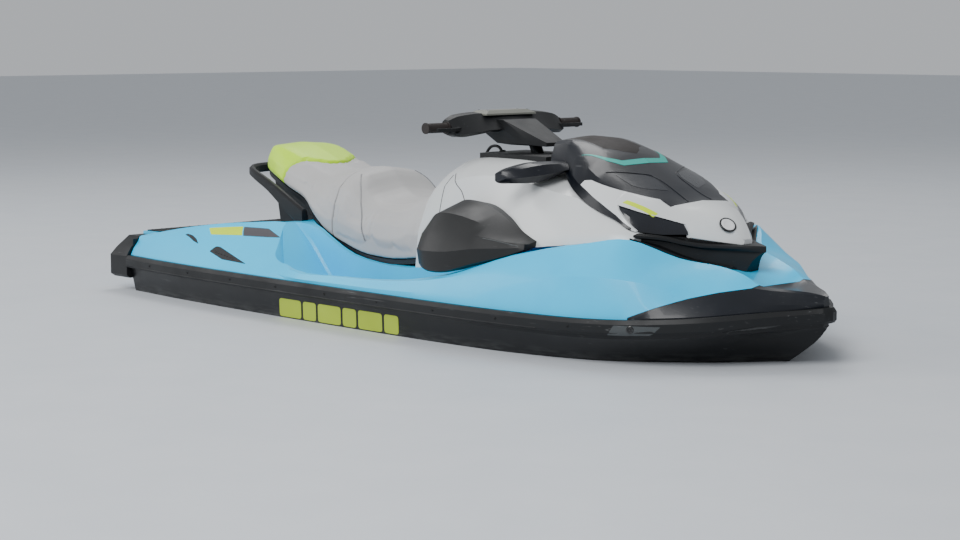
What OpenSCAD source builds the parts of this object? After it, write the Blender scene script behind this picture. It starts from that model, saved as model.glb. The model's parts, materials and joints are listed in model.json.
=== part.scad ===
// Three-seat personal watercraft, drawn afloat.
// X runs forward, Y to port and Z up; Z = 0 is the waterline and X = 0 is mid-length.

/* [Overall] */
// Length from the bow tip to the folded boarding step
overall_length = 3320; // [2800:10:4000]
// Width over the bumper rail
overall_beam = 1255; // [1050:5:1500]
// Scale of every height above and below the waterline, in percent
height_percent = 100; // [85:1:120]

// Clearance where one moulding sits on another
fit = 0.4; // [0.3:0.1:1]

/* [Bumper] */
// How far the bumper rail stands out from the hull flange
rail_depth = 25; // [18:1:32]
// Height of the bumper rail
rail_height = 50; // [40:1:62]

/* [Footwell] */
// Height of the footwell floor above the waterline
footwell_floor = 32; // [24:1:60]
// Thickness of the traction mats
mat_thickness = 8; // [5:1:12]

/* [Seat] */
// Height of the seat's moulded base tray
seat_tray = 18; // [12:1:30]
// Gap between the seat and what it sits on
seat_gap = 0.4; // [0.3:0.1:2]

/* [Steering] */
// Length of the handlebar from grip end to grip end
bar_length = 790; // [700:5:900]
// Radius of the handlebar tube
bar_r = 11; // [9:0.5:14]
// Outer radius of a grip
grip_r = 17; // [15:0.5:21]
// Lean of the steering column back from upright, in degrees
column_lean = 28; // [15:1:40]

/* [Jet pump] */
// Inner radius of the pump duct, where the impeller turns
pump_bore_r = 78; // [68:1:84]
// Wall of the pump duct
pump_wall = 9; // [7:1:12]
// Gap between the impeller's blade tips and the duct
tip_gap = 3; // [1:0.5:5]
// Radius of the drive shaft
shaft_r = 12; // [9:0.5:18]
// Radius of the steering nozzle's outlet
nozzle_r = 42; // [36:1:46]

/* [Hidden] */
$fn = 48;

kx = overall_length / 3320;
ky = overall_beam / 1255;
kz = height_percent / 100;
function at(p) = [p[0] * kx, p[1] * ky, p[2] * kz];

// ---------- Curves and lofts ----------

// One coordinate, or one point, on a Catmull-Rom curve between b and c
function curve(a, b, c, d, t) =
    0.5 * (2 * b + (c - a) * t + (2 * a - 5 * b + 4 * c - d) * t * t + (3 * b - a - 3 * c + d) * t * t * t);

// Steps n times between each pair of rows, smoothly, and keeps both end rows
function smooth_rows(rows, n) = [
    for (i = [0 : len(rows) - 2], k = [0 : n - 1])
        curve(rows[max(i - 1, 0)], rows[i], rows[i + 1], rows[min(i + 2, len(rows) - 1)], k / n),
    rows[len(rows) - 1]
];

// Port half-section, from the centreline below to the centreline above, closed to a full ring
function mirrored(half) = concat(
    half, [for (i = [len(half) - 2 : -1 : 1]) [half[i][0], -half[i][1], half[i][2]]]
);

function middle(ring) = [for (c = [0 : 2]) [for (p = ring) p[c]] * [for (p = ring) 1] / len(ring)];

// Skin over rings that all have the same number of points, with a fan on each end; its two halves match
module loft(rings) {
    m = len(rings[0]);
    r = len(rings);
    skin = [
        for (i = [0 : r - 2], j = [0 : m - 1])
            let (a = i * m + j, b = i * m + (j + 1) % m)
            each (j < m / 2 ? [[a, a + m, b], [b, a + m, b + m]] : [[a, a + m, b + m], [a, b + m, b]])
    ];
    ends = [
        for (j = [0 : m - 1])
            let (k = (j + 1) % m)
            each [[r * m, j, k], [r * m + 1, (r - 1) * m + k, (r - 1) * m + j]]
    ];
    polyhedron(
        points = [for (ring = concat(rings, [[middle(rings[0]), middle(rings[r - 1])]]), p = ring) at(p)],
        faces = concat(skin, ends)
    );
}

// One moulding made of lofts and cuts
module moulding() resize([0, 0, 0]) children();

module both_sides() {
    children();
    mirror([0, 1, 0]) children();
}

// Block between two corners, in nominal coordinates
module block(low, high) translate(at(low)) cube(at(high - low));

// Upright prism over a plan outline
module prism(outline, low, high)
    translate([0, 0, low * kz])
        linear_extrude((high - low) * kz)
            polygon([for (p = outline) [p[0] * kx, p[1] * ky]]);

// Prism through a side-view outline, from y = low to y = high
module side_prism(outline, low, high)
    translate([0, high * ky, 0])
        rotate([90, 0, 0])
            linear_extrude((high - low) * ky)
                polygon([for (p = outline) [p[0] * kx, p[1] * kz]]);

// The part of a side-view outline that keeps a gap to whatever the same outline cuts
module side_panel(outline, low, high, gap) intersection() {
    translate([-gap, 0, 0]) side_prism(outline, low, high);
    translate([gap, 0, 0]) side_prism(outline, low, high);
    translate([0, 0, -gap]) side_prism(outline, low, high);
    translate([0, 0, gap]) side_prism(outline, low, high);
}

module along_x(x, z, r, length)
    translate(at([x, 0, z])) rotate([0, 90, 0]) cylinder(r = r, h = length);

// ---------- Lines plan ----------

// x, gunwale y and z, keel z, chine y and z, crown y and z, shoulder y and z, inner y and z, centre z
LINES = [
    [-1500, 552, 100, -332, 490, -142, 516, 205, 498, 228, 430, 236, 236],
    [-1200, 580, 100, -341, 505, -138, 520, 228, 438, 284, 380, 258, 244],
    [-900, 594, 100, -345, 515, -134, 500, 236, 385, 318, 335, 306, 300],
    [-650, 599, 100, -345, 520, -130, 500, 228, 365, 318, 290, 322, 330],
    [-400, 602, 100, -345, 521, -127, 592, 172, 566, 186, 282, 222, 222],
    [-100, 602, 100, -345, 519, -121, 595, 172, 574, 186, 280, 196, 196],
    [200, 602, 100, -345, 514, -113, 593, 180, 570, 200, 300, 236, 240],
    [450, 598, 100, -342, 503, -102, 585, 205, 560, 240, 345, 292, 320],
    [700, 584, 100, -334, 480, -85, 560, 245, 496, 322, 402, 345, 352],
    [950, 550, 100, -308, 430, -50, 515, 275, 402, 376, 340, 374, 374],
    [1090, 512, 101, -268, 386, -22, 478, 281, 342, 394, 296, 376, 374],
    [1200, 464, 104, -222, 330, 5, 420, 270, 222, 334, 165, 318, 310],
    [1320, 384, 111, -150, 262, 38, 318, 240, 152, 311, 96, 290, 284],
    [1400, 314, 118, -70, 198, 62, 240, 236, 129, 288, 74, 264, 260],
    [1457, 238, 124, -22, 146, 78, 184, 230, 115, 257, 52, 238, 235],
    [1540, 122, 133, 36, 68, 100, 102, 219, 70, 247, 30, 236, 233],
    [1600, 48, 139, 82, 24, 116, 43, 215, 34, 240, 14, 234, 231],
    [1634, 14, 143, 120, 6, 126, 12, 213, 9, 230, 4, 228, 227]
];
lines_fine = smooth_rows(LINES, 4);
x_transom = LINES[0][0];

function hull_ring(s) = mirrored([
    [s[0], 0, s[3]],
    [s[0], s[4] * 0.5, s[3] + (s[5] - s[3]) * 0.46],
    [s[0], s[4], s[5]],
    [s[0], s[4] + 10, s[5] + 8],
    [s[0], (s[4] + s[1]) / 2 + 6, (s[5] + s[2]) / 2],
    [s[0], s[1], s[2] - 14],
    [s[0], s[1], s[2]],
    [s[0], 0, s[2]]
]);

function deck_ring(s) = mirrored([
    [s[0], 0, s[2] + fit / kz],
    [s[0], s[1], s[2] + fit / kz],
    [s[0], s[1], s[2] + rail_height / kz + 3],
    [s[0], (s[1] + s[6]) / 2 + 4, (s[2] + rail_height / kz + 3 + s[7]) / 2],
    [s[0], s[6], s[7]],
    [s[0], (s[6] + s[8]) / 2, (s[7] + s[9]) / 2 + 8],
    [s[0], s[8], s[9]],
    [s[0], s[10], s[11]],
    [s[0], 0, s[12]]
]);

module hull_form() loft([for (s = lines_fine) hull_ring(s)]);
module deck_form() loft([for (s = lines_fine) deck_ring(s)]);

// ---------- Hull ----------

// Plan of the well in the hull that the deck's tub drops into
TUB = [[-700, 0], [-700, 530], [-300, 552], [250, 550], [620, 528], [900, 462], [900, 0]];
tub_floor = 4;
bay_low = [-680, -215, -205];
bay_high = [80, 215, 400];
pump_axis_z = -180;
tunnel_front = -1190;
tunnel_half = 130;
tunnel_roof = -68;
step_y = [165, 415];

module tub(gap, top) both_sides() prism([for (p = TUB) [p[0] * (1 - gap / 700), p[1] - (p[1] > 0 ? gap : 0)]],
                                        tub_floor + gap, top);

module intake_duct() {
    hull() {
        block([intake_x[0], -intake_half, -420], [intake_x[1], intake_half, -290]);
        block([intake_x[0], -intake_half, -340], [intake_x[0] + 110, intake_half, -260]);
        translate([tunnel_front * kx - 2, 0, pump_axis_z * kz]) rotate([0, 90, 0]) cylinder(r = pump_bore_r - 2, h = 20, $fn = 32);
    }
}

module hull_part() color([0.07, 0.08, 0.09]) moulding() {
    difference() {
        hull_form();
        tub(0, 300);
        block(bay_low, bay_high);
        block([x_transom - 20, -tunnel_half, -420], [tunnel_front, tunnel_half, tunnel_roof]);
        intake_duct();
        along_x(tunnel_front, pump_axis_z, shaft_r + 8, 1000 * kx);
        eye_holes(bow_eye_at, bow_eye_turn);
        eye_holes(tow_eye_at, tow_eye_turn);
    }
}

// ---------- Deck ----------

// x, floor z, inner y, outer y at the floor and outer y at the rim
FOOTWELL = [
    [-710, 330, 300, 380, 410],
    [-620, 246, 292, 452, 480],
    [-540, 158, 290, 505, 530],
    [-450, 64, 290, 528, 556],
    [-380, footwell_floor, 290, 532, 560],
    [-100, footwell_floor, 288, 534, 562],
    [250, footwell_floor, 310, 528, 556],
    [520, footwell_floor, 330, 500, 524],
    [760, footwell_floor + 10, 345, 450, 460],
    [860, footwell_floor + 60, 352, 400, 405]
];
// Height at which the footwell's outer wall reaches its rim width
rim_z = 200;
open_top = 420;

module footwell_cut() {
    loft([for (s = smooth_rows(FOOTWELL, 3)) [
        [s[0], s[2] + 8, s[1]], [s[0], s[3] - 14, s[1]], [s[0], s[3], s[1] + 14],
        [s[0], s[4], max(rim_z, s[1] + 20)], [s[0], s[4] + 6, open_top], [s[0], s[2] - 22, open_top],
        [s[0], s[2], s[1] + 14]
    ]]);
}

bin_low = [690, -180, 140];
bin_high = [1060, 180, 620];
platform_rear = -1596;
platform_z = 236;

module deck_hollows() {
    both_sides() footwell_cut();
    block([engine_x[0] - 50, -185, -50], [engine_x[1] + 20, 185, 168]);
    block([engine_x[0] - 50, -185, -50], [-150, 185, 500]);
    block(bin_low, bin_high);
    seat_path(seat_gap);
}

// The nose that the bow cover takes over
BOW_SPLIT = [[1195, 90], [1195, 160], [1260, 192], [1330, 222], [1390, 240], [1452, 252], [1460, 400], [1800, 400], [1800, 90]];

module deck_part() color([0.2, 0.75, 0.95]) moulding() {
    difference() {
        union() {
            deck_form();
            tub(2, 130);
            block([platform_rear, -424, 102], [x_transom + 2, 424, platform_z]);
        }
        deck_hollows();
        side_prism(BOW_SPLIT, -700, 700);
        recess_platform();
    }
}

module recess_platform() translate([0, 0, -mat_thickness]) prism(platform_outline(0), platform_z, platform_z + 200);

module bow_cover() color([0.05, 0.06, 0.08]) moulding() {
    intersection() {
        deck_form();
        side_panel(BOW_SPLIT, -700, 700, 1);
    }
}

// Bumper rail: outline points of the flange, with their outward direction in plan
function outline_dir(rows, i) = let (
    a = rows[max(i - 1, 0)], b = rows[min(i + 1, len(rows) - 1)],
    d = [b[0] - a[0], b[1] - a[1]]
) [-d[1], d[0]] / norm(d);

rail_rows = [for (s = lines_fine) if (s[0] <= 1640) s];
function rail_station(i) = let (
    s = rail_rows[i], n = outline_dir(rail_rows, i), h = rail_height / kz, z = s[2]
) [for (q = [[fit, 0], [rail_depth - 7, 0], [rail_depth, 9], [rail_depth, h - 14], [rail_depth - 9, h], [fit, h]])
    [s[0] + n[0] * q[0], s[1] + n[1] * q[0], z + q[1]]];
// The last station closes the rail on the centreline, ahead of the flange
function rail_tip() = [for (q = [[fit, 0], [rail_depth - 7, 0], [rail_depth, 9], [rail_depth, rail_height / kz - 14],
                                 [rail_depth - 9, rail_height / kz], [fit, rail_height / kz]])
    [1635 + q[0], 0, 143.5 + q[1]]];
function flip(ring) = [for (p = ring) [p[0], -p[1], p[2]]];

module bumper_rail() color([0.05, 0.06, 0.07]) {
    port = [for (i = [0 : len(rail_rows) - 1]) rail_station(i)];
    n = len(port);
    moulding() loft(concat(port, [rail_tip()], [for (i = [n - 1 : -1 : 0]) flip(port[i])]));
}

module stern_bumper() {
    front = x_transom - fit / kx - 3;
    hull() {
        block([-1618, 440, 54], [front, 556, 60]);
        block([-1623, 440, 66], [front, 572, 146]);
        block([-1606, 432, 150], [front, 552, 178]);
        block([-1580, 432, 216], [front, 506, 226]);
    }
    block([front - 1, 446, 60], [x_transom - fit / kx, 540, 216]);
}

// ---------- Mats ----------

function platform_outline(g) = [
    [-1590 + g, -410 + g], [-1440 - g * 0.2, -400 + g], [-1260 - g * 0.4, -340 + g], [-1120 - g * 0.5, -300 + g], [-1075 - g, -262],
    [-1075 - g, 262], [-1120 - g * 0.5, 300 - g], [-1260 - g * 0.4, 340 - g], [-1440 - g * 0.2, 400 - g], [-1590 + g, 410 - g]
];

module platform_mat() color([0.1, 0.1, 0.11])
    translate([0, 0, fit - mat_thickness]) prism(platform_outline(2), platform_z, platform_z + 1.5 * mat_thickness);

module footwell_mats() color([0.1, 0.1, 0.11]) both_sides()
    prism([[-360, 306], [-360, 512], [-100, 514], [250, 508], [500, 482], [500, 350], [250, 330], [-100, 306]],
          footwell_floor + fit, footwell_floor + fit + mat_thickness);

// ---------- Console ----------

// x, side foot y and z, hip y and z, shoulder y and z, top half-width, top edge z, centre z
CONSOLE = [
    [-62, 250, 188, 236, 330, 188, 440, 104, 522, 538],
    [0, 262, 200, 250, 350, 205, 476, 112, 556, 572],
    [130, 290, 220, 285, 380, 232, 530, 130, 606, 622],
    [300, 330, 250, 325, 400, 262, 560, 140, 614, 626],
    [500, 385, 280, 370, 400, 290, 560, 140, 606, 616],
    [760, 424, 300, 400, 400, 300, 520, 150, 556, 562],
    [1000, 380, 340, 350, 410, 262, 482, 140, 500, 504],
    [1084, 338, 345, 304, 404, 232, 446, 116, 470, 472]
];

function console_ring(s) = mirrored([
    [s[0], 0, s[2] - 40], [s[0], s[1] - 6, s[2] - 40], [s[0], s[1], s[2]], [s[0], s[3], s[4]], [s[0], s[5], s[6]],
    [s[0], (s[5] + s[7]) / 2 + 4, (s[6] + s[8]) / 2 + 6], [s[0], s[7], s[8]], [s[0], 0, s[9]]
]);

module console_form() loft([for (s = smooth_rows(CONSOLE, 4)) console_ring(s)]);

// Glove box lid: a slab of the console's top, seen from the side
LID = [[-140, 490], [-62, 516], [0, 546], [84, 584], [84, 700], [-140, 700]];
lid_half = 104;
glove_low = [-36, -80, 430];
glove_high = [66, 80, 700];

module lid_slab(gap) side_prism([for (p = LID) [p[0] + (p[0] > 50 ? gap : 0), p[1]]], -lid_half - gap, lid_half + gap);

module console() color([0.68, 0.7, 0.7]) moulding() difference() {
    console_form();
    translate([0, 0, fit]) deck_form();
    lid_slab(2);
    block(glove_low, glove_high);
    block(bin_low, bin_high);
    translate([0, 0, -fit]) steering_base_form();
    translate([0, 0, -fit]) hood_path();
}

module glovebox_lid() color([0.68, 0.7, 0.7]) moulding() intersection() {
    console_form();
    translate([0, 0, fit]) lid_slab(0);
    block([-58, -300, 0], [84, 300, 900]);
}

module steering_base_form() hull() {
    block([150, -118, 596], [170, 118, 630]);
    block([480, -128, 570], [500, 128, 630]);
    block([180, -96, 622], [470, 96, 634]);
}

module steering_base() color([0.05, 0.05, 0.06]) moulding() difference() {
    steering_base_form();
    on_column() translate([0, 0, -60]) cylinder(r = column_r + 0.6, h = 200);
}

// ---------- Knee fairings ----------

// x, inner foot z, then outer foot, outer waist, top outer and top inner points as y and z
FAIRING = [
    [296, 300, 555, 262, 564, 318, 500, 412, 380, 462],
    [350, 262, 574, 246, 580, 318, 508, 446, 376, 484],
    [450, 262, 574, 250, 574, 322, 494, 440, 384, 478],
    [560, 282, 548, 282, 548, 338, 474, 410, 392, 440],
    [660, 308, 506, 310, 506, 344, 454, 374, 400, 392],
    [730, 330, 470, 336, 468, 350, 446, 360, 406, 368]
];

module knee_fairing_form() loft([for (s = smooth_rows(FAIRING, 4)) [
    [s[0], 330, s[1]], [s[0], s[2] - 10, s[3]], [s[0], s[2], s[3] + 6], [s[0], s[4], s[5]],
    [s[0], (s[4] + s[6]) / 2 + 8, (s[5] + s[7]) / 2 + 6], [s[0], s[6], s[7]], [s[0], s[8], s[9]], [s[0], 330, s[9] - 10]
]]);

module knee_fairing() color([0.06, 0.07, 0.07]) moulding() difference() {
    knee_fairing_form();
    translate([0, 2 * fit, fit]) console_form();
    translate([0, 0, fit]) deck_form();
}

// ---------- Hood ----------

// x, edge y and z, side y and z, shoulder y and z, crest y and z, centre z
HOOD = [
    [545, 150, 612, 148, 634, 138, 658, 112, 690, 700],
    [640, 190, 590, 182, 618, 160, 655, 118, 694, 706],
    [760, 266, 536, 256, 575, 212, 624, 116, 664, 675],
    [880, 306, 486, 300, 524, 246, 574, 106, 608, 620],
    [1000, 314, 448, 300, 486, 220, 528, 102, 550, 560],
    [1060, 304, 418, 286, 452, 200, 506, 92, 520, 528],
    [1110, 246, 404, 236, 430, 172, 482, 84, 500, 507],
    [1170, 172, 396, 168, 416, 130, 460, 68, 486, 494],
    [1230, 112, 384, 110, 402, 84, 436, 44, 464, 472],
    [1280, 62, 374, 60, 386, 44, 408, 22, 424, 430],
    [1309, 22, 367, 21, 371, 15, 382, 8, 388, 390]
];
hood_wall = 16;

function hood_ring(s) = mirrored([
    [s[0], 0, s[2]], [s[0], s[1] - 8, s[2]], [s[0], s[1], s[2] + 4], [s[0], s[3], s[4]], [s[0], s[5], s[6]],
    [s[0], (s[5] + s[7]) / 2 + 6, (s[6] + s[8]) / 2 + 4], [s[0], s[7], s[8]], [s[0], 0, s[9]]
]);
module hood_form() loft([for (s = smooth_rows(HOOD, 4)) hood_ring(s)]);

// The hollow under the hood: its own outline drawn in by the wall
module hood_hollow() loft([for (s = smooth_rows(HOOD, 2)) if (s[0] > 560 && s[0] < 1275) let (w = hood_wall) mirrored([
    [s[0], 0, s[2] - 40], [s[0], s[1] - w, s[2] - 40], [s[0], s[3] - w, s[4] - 4], [s[0], s[5] - w, s[6] - w],
    [s[0], s[7] - 8, s[8] - w - 2], [s[0], 0, s[9] - w - 2]
])]);

// Everything below the hood's outer edge that has to stay out of its way
module hood_path() loft([for (s = smooth_rows(HOOD, 4)) mirrored([
    [s[0], 0, s[2]], [s[0], s[1] + 8, s[2]], [s[0], s[1] + 60, 900], [s[0], 0, 900]
])]);

module hood_shell() difference() {
    hood_form();
    hood_hollow();
}

// Side view of the grey nose panel's upper edge; the shroud keeps what is above and behind it
NOSE_TOP = [[806, 556], [814, 572], [840, 574], [960, 543], [1060, 516], [1104, 492], [1150, 560], [1400, 560],
            [1400, 300], [1062, 300], [1060, 428], [1000, 466], [920, 506], [850, 538]];
INSET = [[985, 500], [1020, 490], [1180, 434], [1250, 410], [1290, 398], [1290, 350], [1072, 350], [1074, 420]];
CAP_TOP = [[560, 716], [560, 690], [640, 684], [760, 668], [872, 634], [900, 640], [900, 760], [560, 760]];
cap_half = 96;

module hood_shroud() color([0.05, 0.06, 0.08]) moulding() difference() {
    hood_shell();
    side_prism(NOSE_TOP, -500, 500);
    translate([0, 0, -fit]) side_prism(CAP_TOP, -cap_half - fit, cap_half + fit);
    gauge_pocket();
}

module hood_nose() color([0.7, 0.72, 0.72]) moulding() difference() {
    intersection() {
        hood_shell();
        side_panel(NOSE_TOP, -500, 500, 1);
    }
    both_sides() side_prism(INSET, 150, 500);
}

module hood_insets() color([0.03, 0.03, 0.04]) moulding() both_sides() intersection() {
    translate([0, -7, 0]) hood_shell();
    side_panel(INSET, 152, 500, fit);
    block([900, 152, 405], [1400, 500, 600]);
}

module hood_cap() color([0.06, 0.05, 0.05]) moulding() intersection() {
    hood_form();
    side_prism(CAP_TOP, -cap_half, cap_half);
}

module gauge_pocket() block([500, -86, 618], [556, 86, 676]);
module gauge_display() color([0.02, 0.02, 0.03]) block([549, -86 + fit, 618 + fit], [556 - fit, 86 - fit, 676 - fit]);

// Mirror housing: y, rear x, front x, low z and high z of each section, from the hood outwards
MIRROR = [
    [176, 596, 700, 592, 622],
    [215, 590, 700, 582, 626],
    [260, 584, 694, 568, 627],
    [310, 576, 686, 556, 626],
    [360, 564, 664, 552, 618],
    [405, 552, 632, 553, 606],
    [430, 550, 600, 558, 596]
];

function mirror_ring(s) = [
    [s[1], s[0], s[3] + 6], [s[1] + 10, s[0], s[3]], [s[2] - 30, s[0], s[3] + 4], [s[2], s[0], (s[3] + s[4]) / 2 - 4],
    [s[2] - 26, s[0], s[4] - 8], [(s[1] + s[2]) / 2, s[0], s[4]], [s[1] + 10, s[0], s[4] - 3], [s[1], s[0], s[4] - 8]
];

module mirror_form() loft([for (s = smooth_rows(MIRROR, 3)) [for (i = [7 : -1 : 0]) mirror_ring(s)[i]]]);

// Frame of the mirror glass, which faces aft and a little inboard
module on_mirror() translate(at([568, 335, 589])) rotate([0, 0, 12.5]) children();

module mirror_housing() color([0.06, 0.07, 0.09]) moulding() difference() {
    mirror_form();
    translate([0, 2 * fit, fit]) hood_form();
    translate([0, 0, 6]) console_form();
    on_mirror() translate([-60, -58, -19]) cube([64, 116, 38]);
}

module mirror_glasses() color([0.7, 0.75, 0.8]) both_sides()
    on_mirror() translate([0, -56, -17]) cube([3.5, 112, 34]);

// ---------- Nose grille ----------

// x, half-width and top of the ledge, half-width of the neck below it and the neck's foot
GRILLE = [
    [1086, 318, 412, 306, 240],
    [1122, 266, 406, 252, 240],
    [1150, 222, 398, 214, 240],
    [1182, 182, 386, 172, 240],
    [1230, 130, 376, 118, 240],
    [1280, 86, 374, 74, 240],
    [1312, 60, 373, 48, 250],
    [1346, 34, 372, 22, 318],
    [1372, 14, 371, 8, 344],
    [1384, 5, 370, 3, 350]
];
GRILLE_BED = [[1086, 0], [1086, 336], [1122, 286], [1182, 204], [1230, 130], [1302, 70], [1314, 0]];

module nose_grille() color([0.03, 0.03, 0.04]) moulding() difference() {
    union() {
        loft([for (s = smooth_rows(GRILLE, 3)) mirrored([
            [s[0], 0, s[2] - 20], [s[0], s[1] * 0.9, s[2] - 20], [s[0], s[1], s[2] - 12],
            [s[0], s[1], s[2] - 5], [s[0], s[1] * 0.94, s[2]], [s[0], 0, s[2]]
        ])]);
        loft([for (s = smooth_rows(GRILLE, 3)) mirrored([
            [s[0], 0, s[4]], [s[0], s[3], s[4]], [s[0], s[3] * 0.9, s[2] - 10], [s[0], 0, s[2] - 10]
        ])]);
        loft([for (s = smooth_rows(HOOD, 4)) if (s[0] > 1087 && s[0] < 1290) mirrored([
            [s[0], 0, s[2] - 40], [s[0], s[1] - 14, s[2] - 40], [s[0], s[1] - 8, s[2] + 20], [s[0], 0, s[2] + 20]
        ])]);
        intersection() {
            translate([0, 0, 8]) deck_form();
            both_sides() prism(GRILLE_BED, 250, 500);
        }
    }
    translate([0, 0, fit]) deck_form();
    translate([0, 0, -fit]) hood_path();
    translate([2, 0, -fit]) hood_path();
}

// ---------- Handlebar ----------

bar_at = [156, 0, 728];
column_at = [330, 0, 640];
column_r = 22;

// Frame of the steering column: its Z runs up the column
module on_column() translate(at(column_at)) rotate([0, -column_lean, 0]) children();

module steering_column() color([0.2, 0.2, 0.2]) on_column() translate([0, 0, -16]) cylinder(r = column_r, h = 70);

// y, rear x, front x, low z and high z of the cover's sections
COVER = [
    [-284, 122, 192, 700, 756],
    [-250, 104, 214, 692, 770],
    [-190, 92, 226, 698, 777],
    [-120, 88, 236, 706, 780],
    [0, 88, 250, 708, 780],
    [120, 88, 236, 706, 780],
    [190, 92, 226, 698, 777],
    [250, 104, 214, 692, 770],
    [284, 122, 192, 700, 756]
];

function cover_ring(s) = let (w = s[2] - s[1], h = s[4] - s[3]) [
    [s[1], s[0], s[3] + h * 0.4], [s[1] + w * 0.12, s[0], s[3] + h * 0.12], [s[1] + w * 0.45, s[0], s[3]],
    [s[1] + w * 0.85, s[0], s[3] + h * 0.02], [s[2], s[0], s[3] + h * 0.16], [s[1] + w * 0.8, s[0], s[3] + h * 0.5],
    [s[1] + w * 0.55, s[0], s[4] - h * 0.06], [s[1] + w * 0.25, s[0], s[4]], [s[1] + w * 0.06, s[0], s[4] - h * 0.14]
];

module cover_form() loft([for (s = smooth_rows(COVER, 3)) [for (i = [8 : -1 : 0]) cover_ring(s)[i]]]);

// Neck between the crossbar and the column
module neck() hull() {
    block([116, -84, 716], [238, 84, 752]);
    block([196, -74, 666], [330, 74, 696]);
    block([240, -48, 660], [424, 48, 674]);
}

pad_low = [104, -128, 768];
pad_high = [196, 128, 786];

module handlebar_cover() color([0.05, 0.05, 0.06]) moulding() difference() {
    union() {
        cover_form();
        neck();
    }
    on_column() translate([0, 0, -40]) cylinder(r = column_r + fit, h = 94 + fit);
    block([pad_low[0] - fit, pad_low[1] - fit, pad_low[2] - fit], [pad_high[0] + fit, pad_high[1] + fit, 830]);
}

module handlebar_pad() color([0.6, 0.65, 0.6]) moulding() hull() {
    block(pad_low, [pad_high[0], pad_high[1], pad_low[2] + 6]);
    block([pad_low[0] + 16, pad_low[1] + 26, pad_high[2] - 2], [pad_high[0] - 16, pad_high[1] - 26, pad_high[2]]);
}

// A bar along Y between two distances from the centreline, on each side
module bar_piece(r, from, to) both_sides()
    translate(at(bar_at)) translate([0, from, 0]) rotate([-90, 0, 0]) cylinder(r = r, h = to - from);

cover_end = 284 * ky + fit;
bar_end = bar_length / 2;

module handlebar_tube() color([0.1, 0.1, 0.1]) bar_piece(bar_r, cover_end, bar_end - 4);

module grips() color([0.12, 0.12, 0.12]) difference() {
    union() {
        bar_piece(grip_r, cover_end + 4, bar_end);
        bar_piece(grip_r + 4, cover_end + 4, cover_end + 9);
        bar_piece(grip_r + 3, bar_end - 6, bar_end);
    }
    bar_piece(bar_r + 0.05, cover_end - 5, bar_end - 4);
}

// Lever ahead of a grip, drawn for the port side
module lever() {
    reach = bar_at[0] * kx + grip_r + 30;
    drop = bar_at[2] * kz - 12;
    hull() {
        translate([reach - 18, cover_end - 40, drop]) cylinder(r = 7, h = 12);
        translate([reach + 2, cover_end + 14, drop]) cylinder(r = 6, h = 12);
    }
    hull() {
        translate([reach + 2, cover_end + 14, drop]) cylinder(r = 6, h = 12);
        translate([reach - 4, bar_end - 24, drop]) cylinder(r = 6, h = 12);
    }
}

module lever_part() moulding() difference() {
    lever();
    translate([fit, 0, 0]) cover_form();
    translate([0, fit, 0]) cover_form();
    translate([fit, fit, 0]) cover_form();
}

// ---------- Seat ----------

// x, base y and z, flank y and z, shoulder y and z, crown y and z, centre z
SEAT = [
    [-1143, 66, 510, 72, 526, 66, 546, 44, 562, 565],
    [-1120, 114, 500, 120, 522, 110, 568, 78, 594, 600],
    [-1062, 160, 486, 168, 516, 146, 584, 104, 608, 615],
    [-980, 190, 464, 198, 500, 170, 574, 110, 604, 613],
    [-880, 206, 428, 212, 462, 174, 538, 100, 572, 581],
    [-770, 212, 388, 222, 430, 174, 502, 92, 528, 536],
    [-690, 234, 334, 240, 384, 182, 474, 88, 510, 520],
    [-610, 246, 284, 250, 350, 198, 464, 100, 516, 530],
    [-540, 250, 254, 254, 340, 216, 468, 124, 530, 546],
    [-470, 250, 232, 254, 330, 220, 456, 130, 512, 528],
    [-400, 250, 212, 254, 310, 216, 412, 126, 446, 462],
    [-320, 250, 200, 252, 290, 208, 392, 112, 418, 428],
    [-200, 246, 196, 246, 290, 192, 396, 100, 422, 430],
    [-110, 240, 204, 236, 310, 168, 426, 84, 462, 470],
    [-66, 236, 210, 230, 320, 158, 438, 76, 484, 494]
];
seat_fine = smooth_rows(SEAT, 3);
tray_inset = 5;
tray_z = seat_tray / kz;

function cushion_ring(s) = mirrored([
    [s[0], 0, s[2] + tray_z + 1], [s[0], s[1] - 4, s[2] + tray_z + 1], [s[0], s[1] + 2, s[2] + tray_z + 8],
    [s[0], s[3], s[4]], [s[0], (s[3] + s[5]) / 2 + 6, (s[4] + s[6]) / 2 + 4], [s[0], s[5], s[6]],
    [s[0], (s[5] + s[7]) / 2 + 4, (s[6] + s[8]) / 2 + 8], [s[0], s[7], s[8]], [s[0], 0, s[9]]
]);

module cushion_form() loft([for (s = seat_fine) cushion_ring(s)]);

// The front and rear cushions meet at this station
seam_x = -548;

// Plan of the lime rear trim; the cushion ahead of it keeps a joint's width away
module trim_plan(gap) translate([gap, 0, 0]) prism([
    [-1400, -400], [-930, -400], [-926, -216], [-900, -184], [-874, -147], [-840, -97], [-810, -45], [-800, 0],
    [-810, 45], [-840, 97], [-874, 147], [-900, 184], [-926, 216], [-930, 400], [-1400, 400]
], 300, 900);

module cushion_between(from, to) moulding() intersection() {
    cushion_form();
    block([from, -400, 0], [to, 400, 900]);
}

module rear_cushion() moulding() difference() {
    cushion_between(-1400, seam_x - 1);
    trim_plan(1.5);
}

module rear_trim() moulding() intersection() {
    cushion_form();
    trim_plan(-1.5);
}

module seat_base() color([0.35, 0.35, 0.35]) moulding() loft([for (s = seat_fine) mirrored([
    [s[0], 0, s[2]], [s[0], s[1] - tray_inset, s[2]], [s[0], s[1] - tray_inset, s[2] + tray_z], [s[0], 0, s[2] + tray_z]
])]);

// The space that the seat needs to lift straight up
module seat_path(gap) translate([0, 0, -gap]) loft([for (s = seat_fine) mirrored([
    [s[0], 0, s[2]], [s[0], s[1] + 6 + gap, s[2]], [s[0], s[3] + 8 + gap, s[2] + 40], [s[0], s[3] + 8 + gap, 900], [s[0], 0, 900]
])]);

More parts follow.
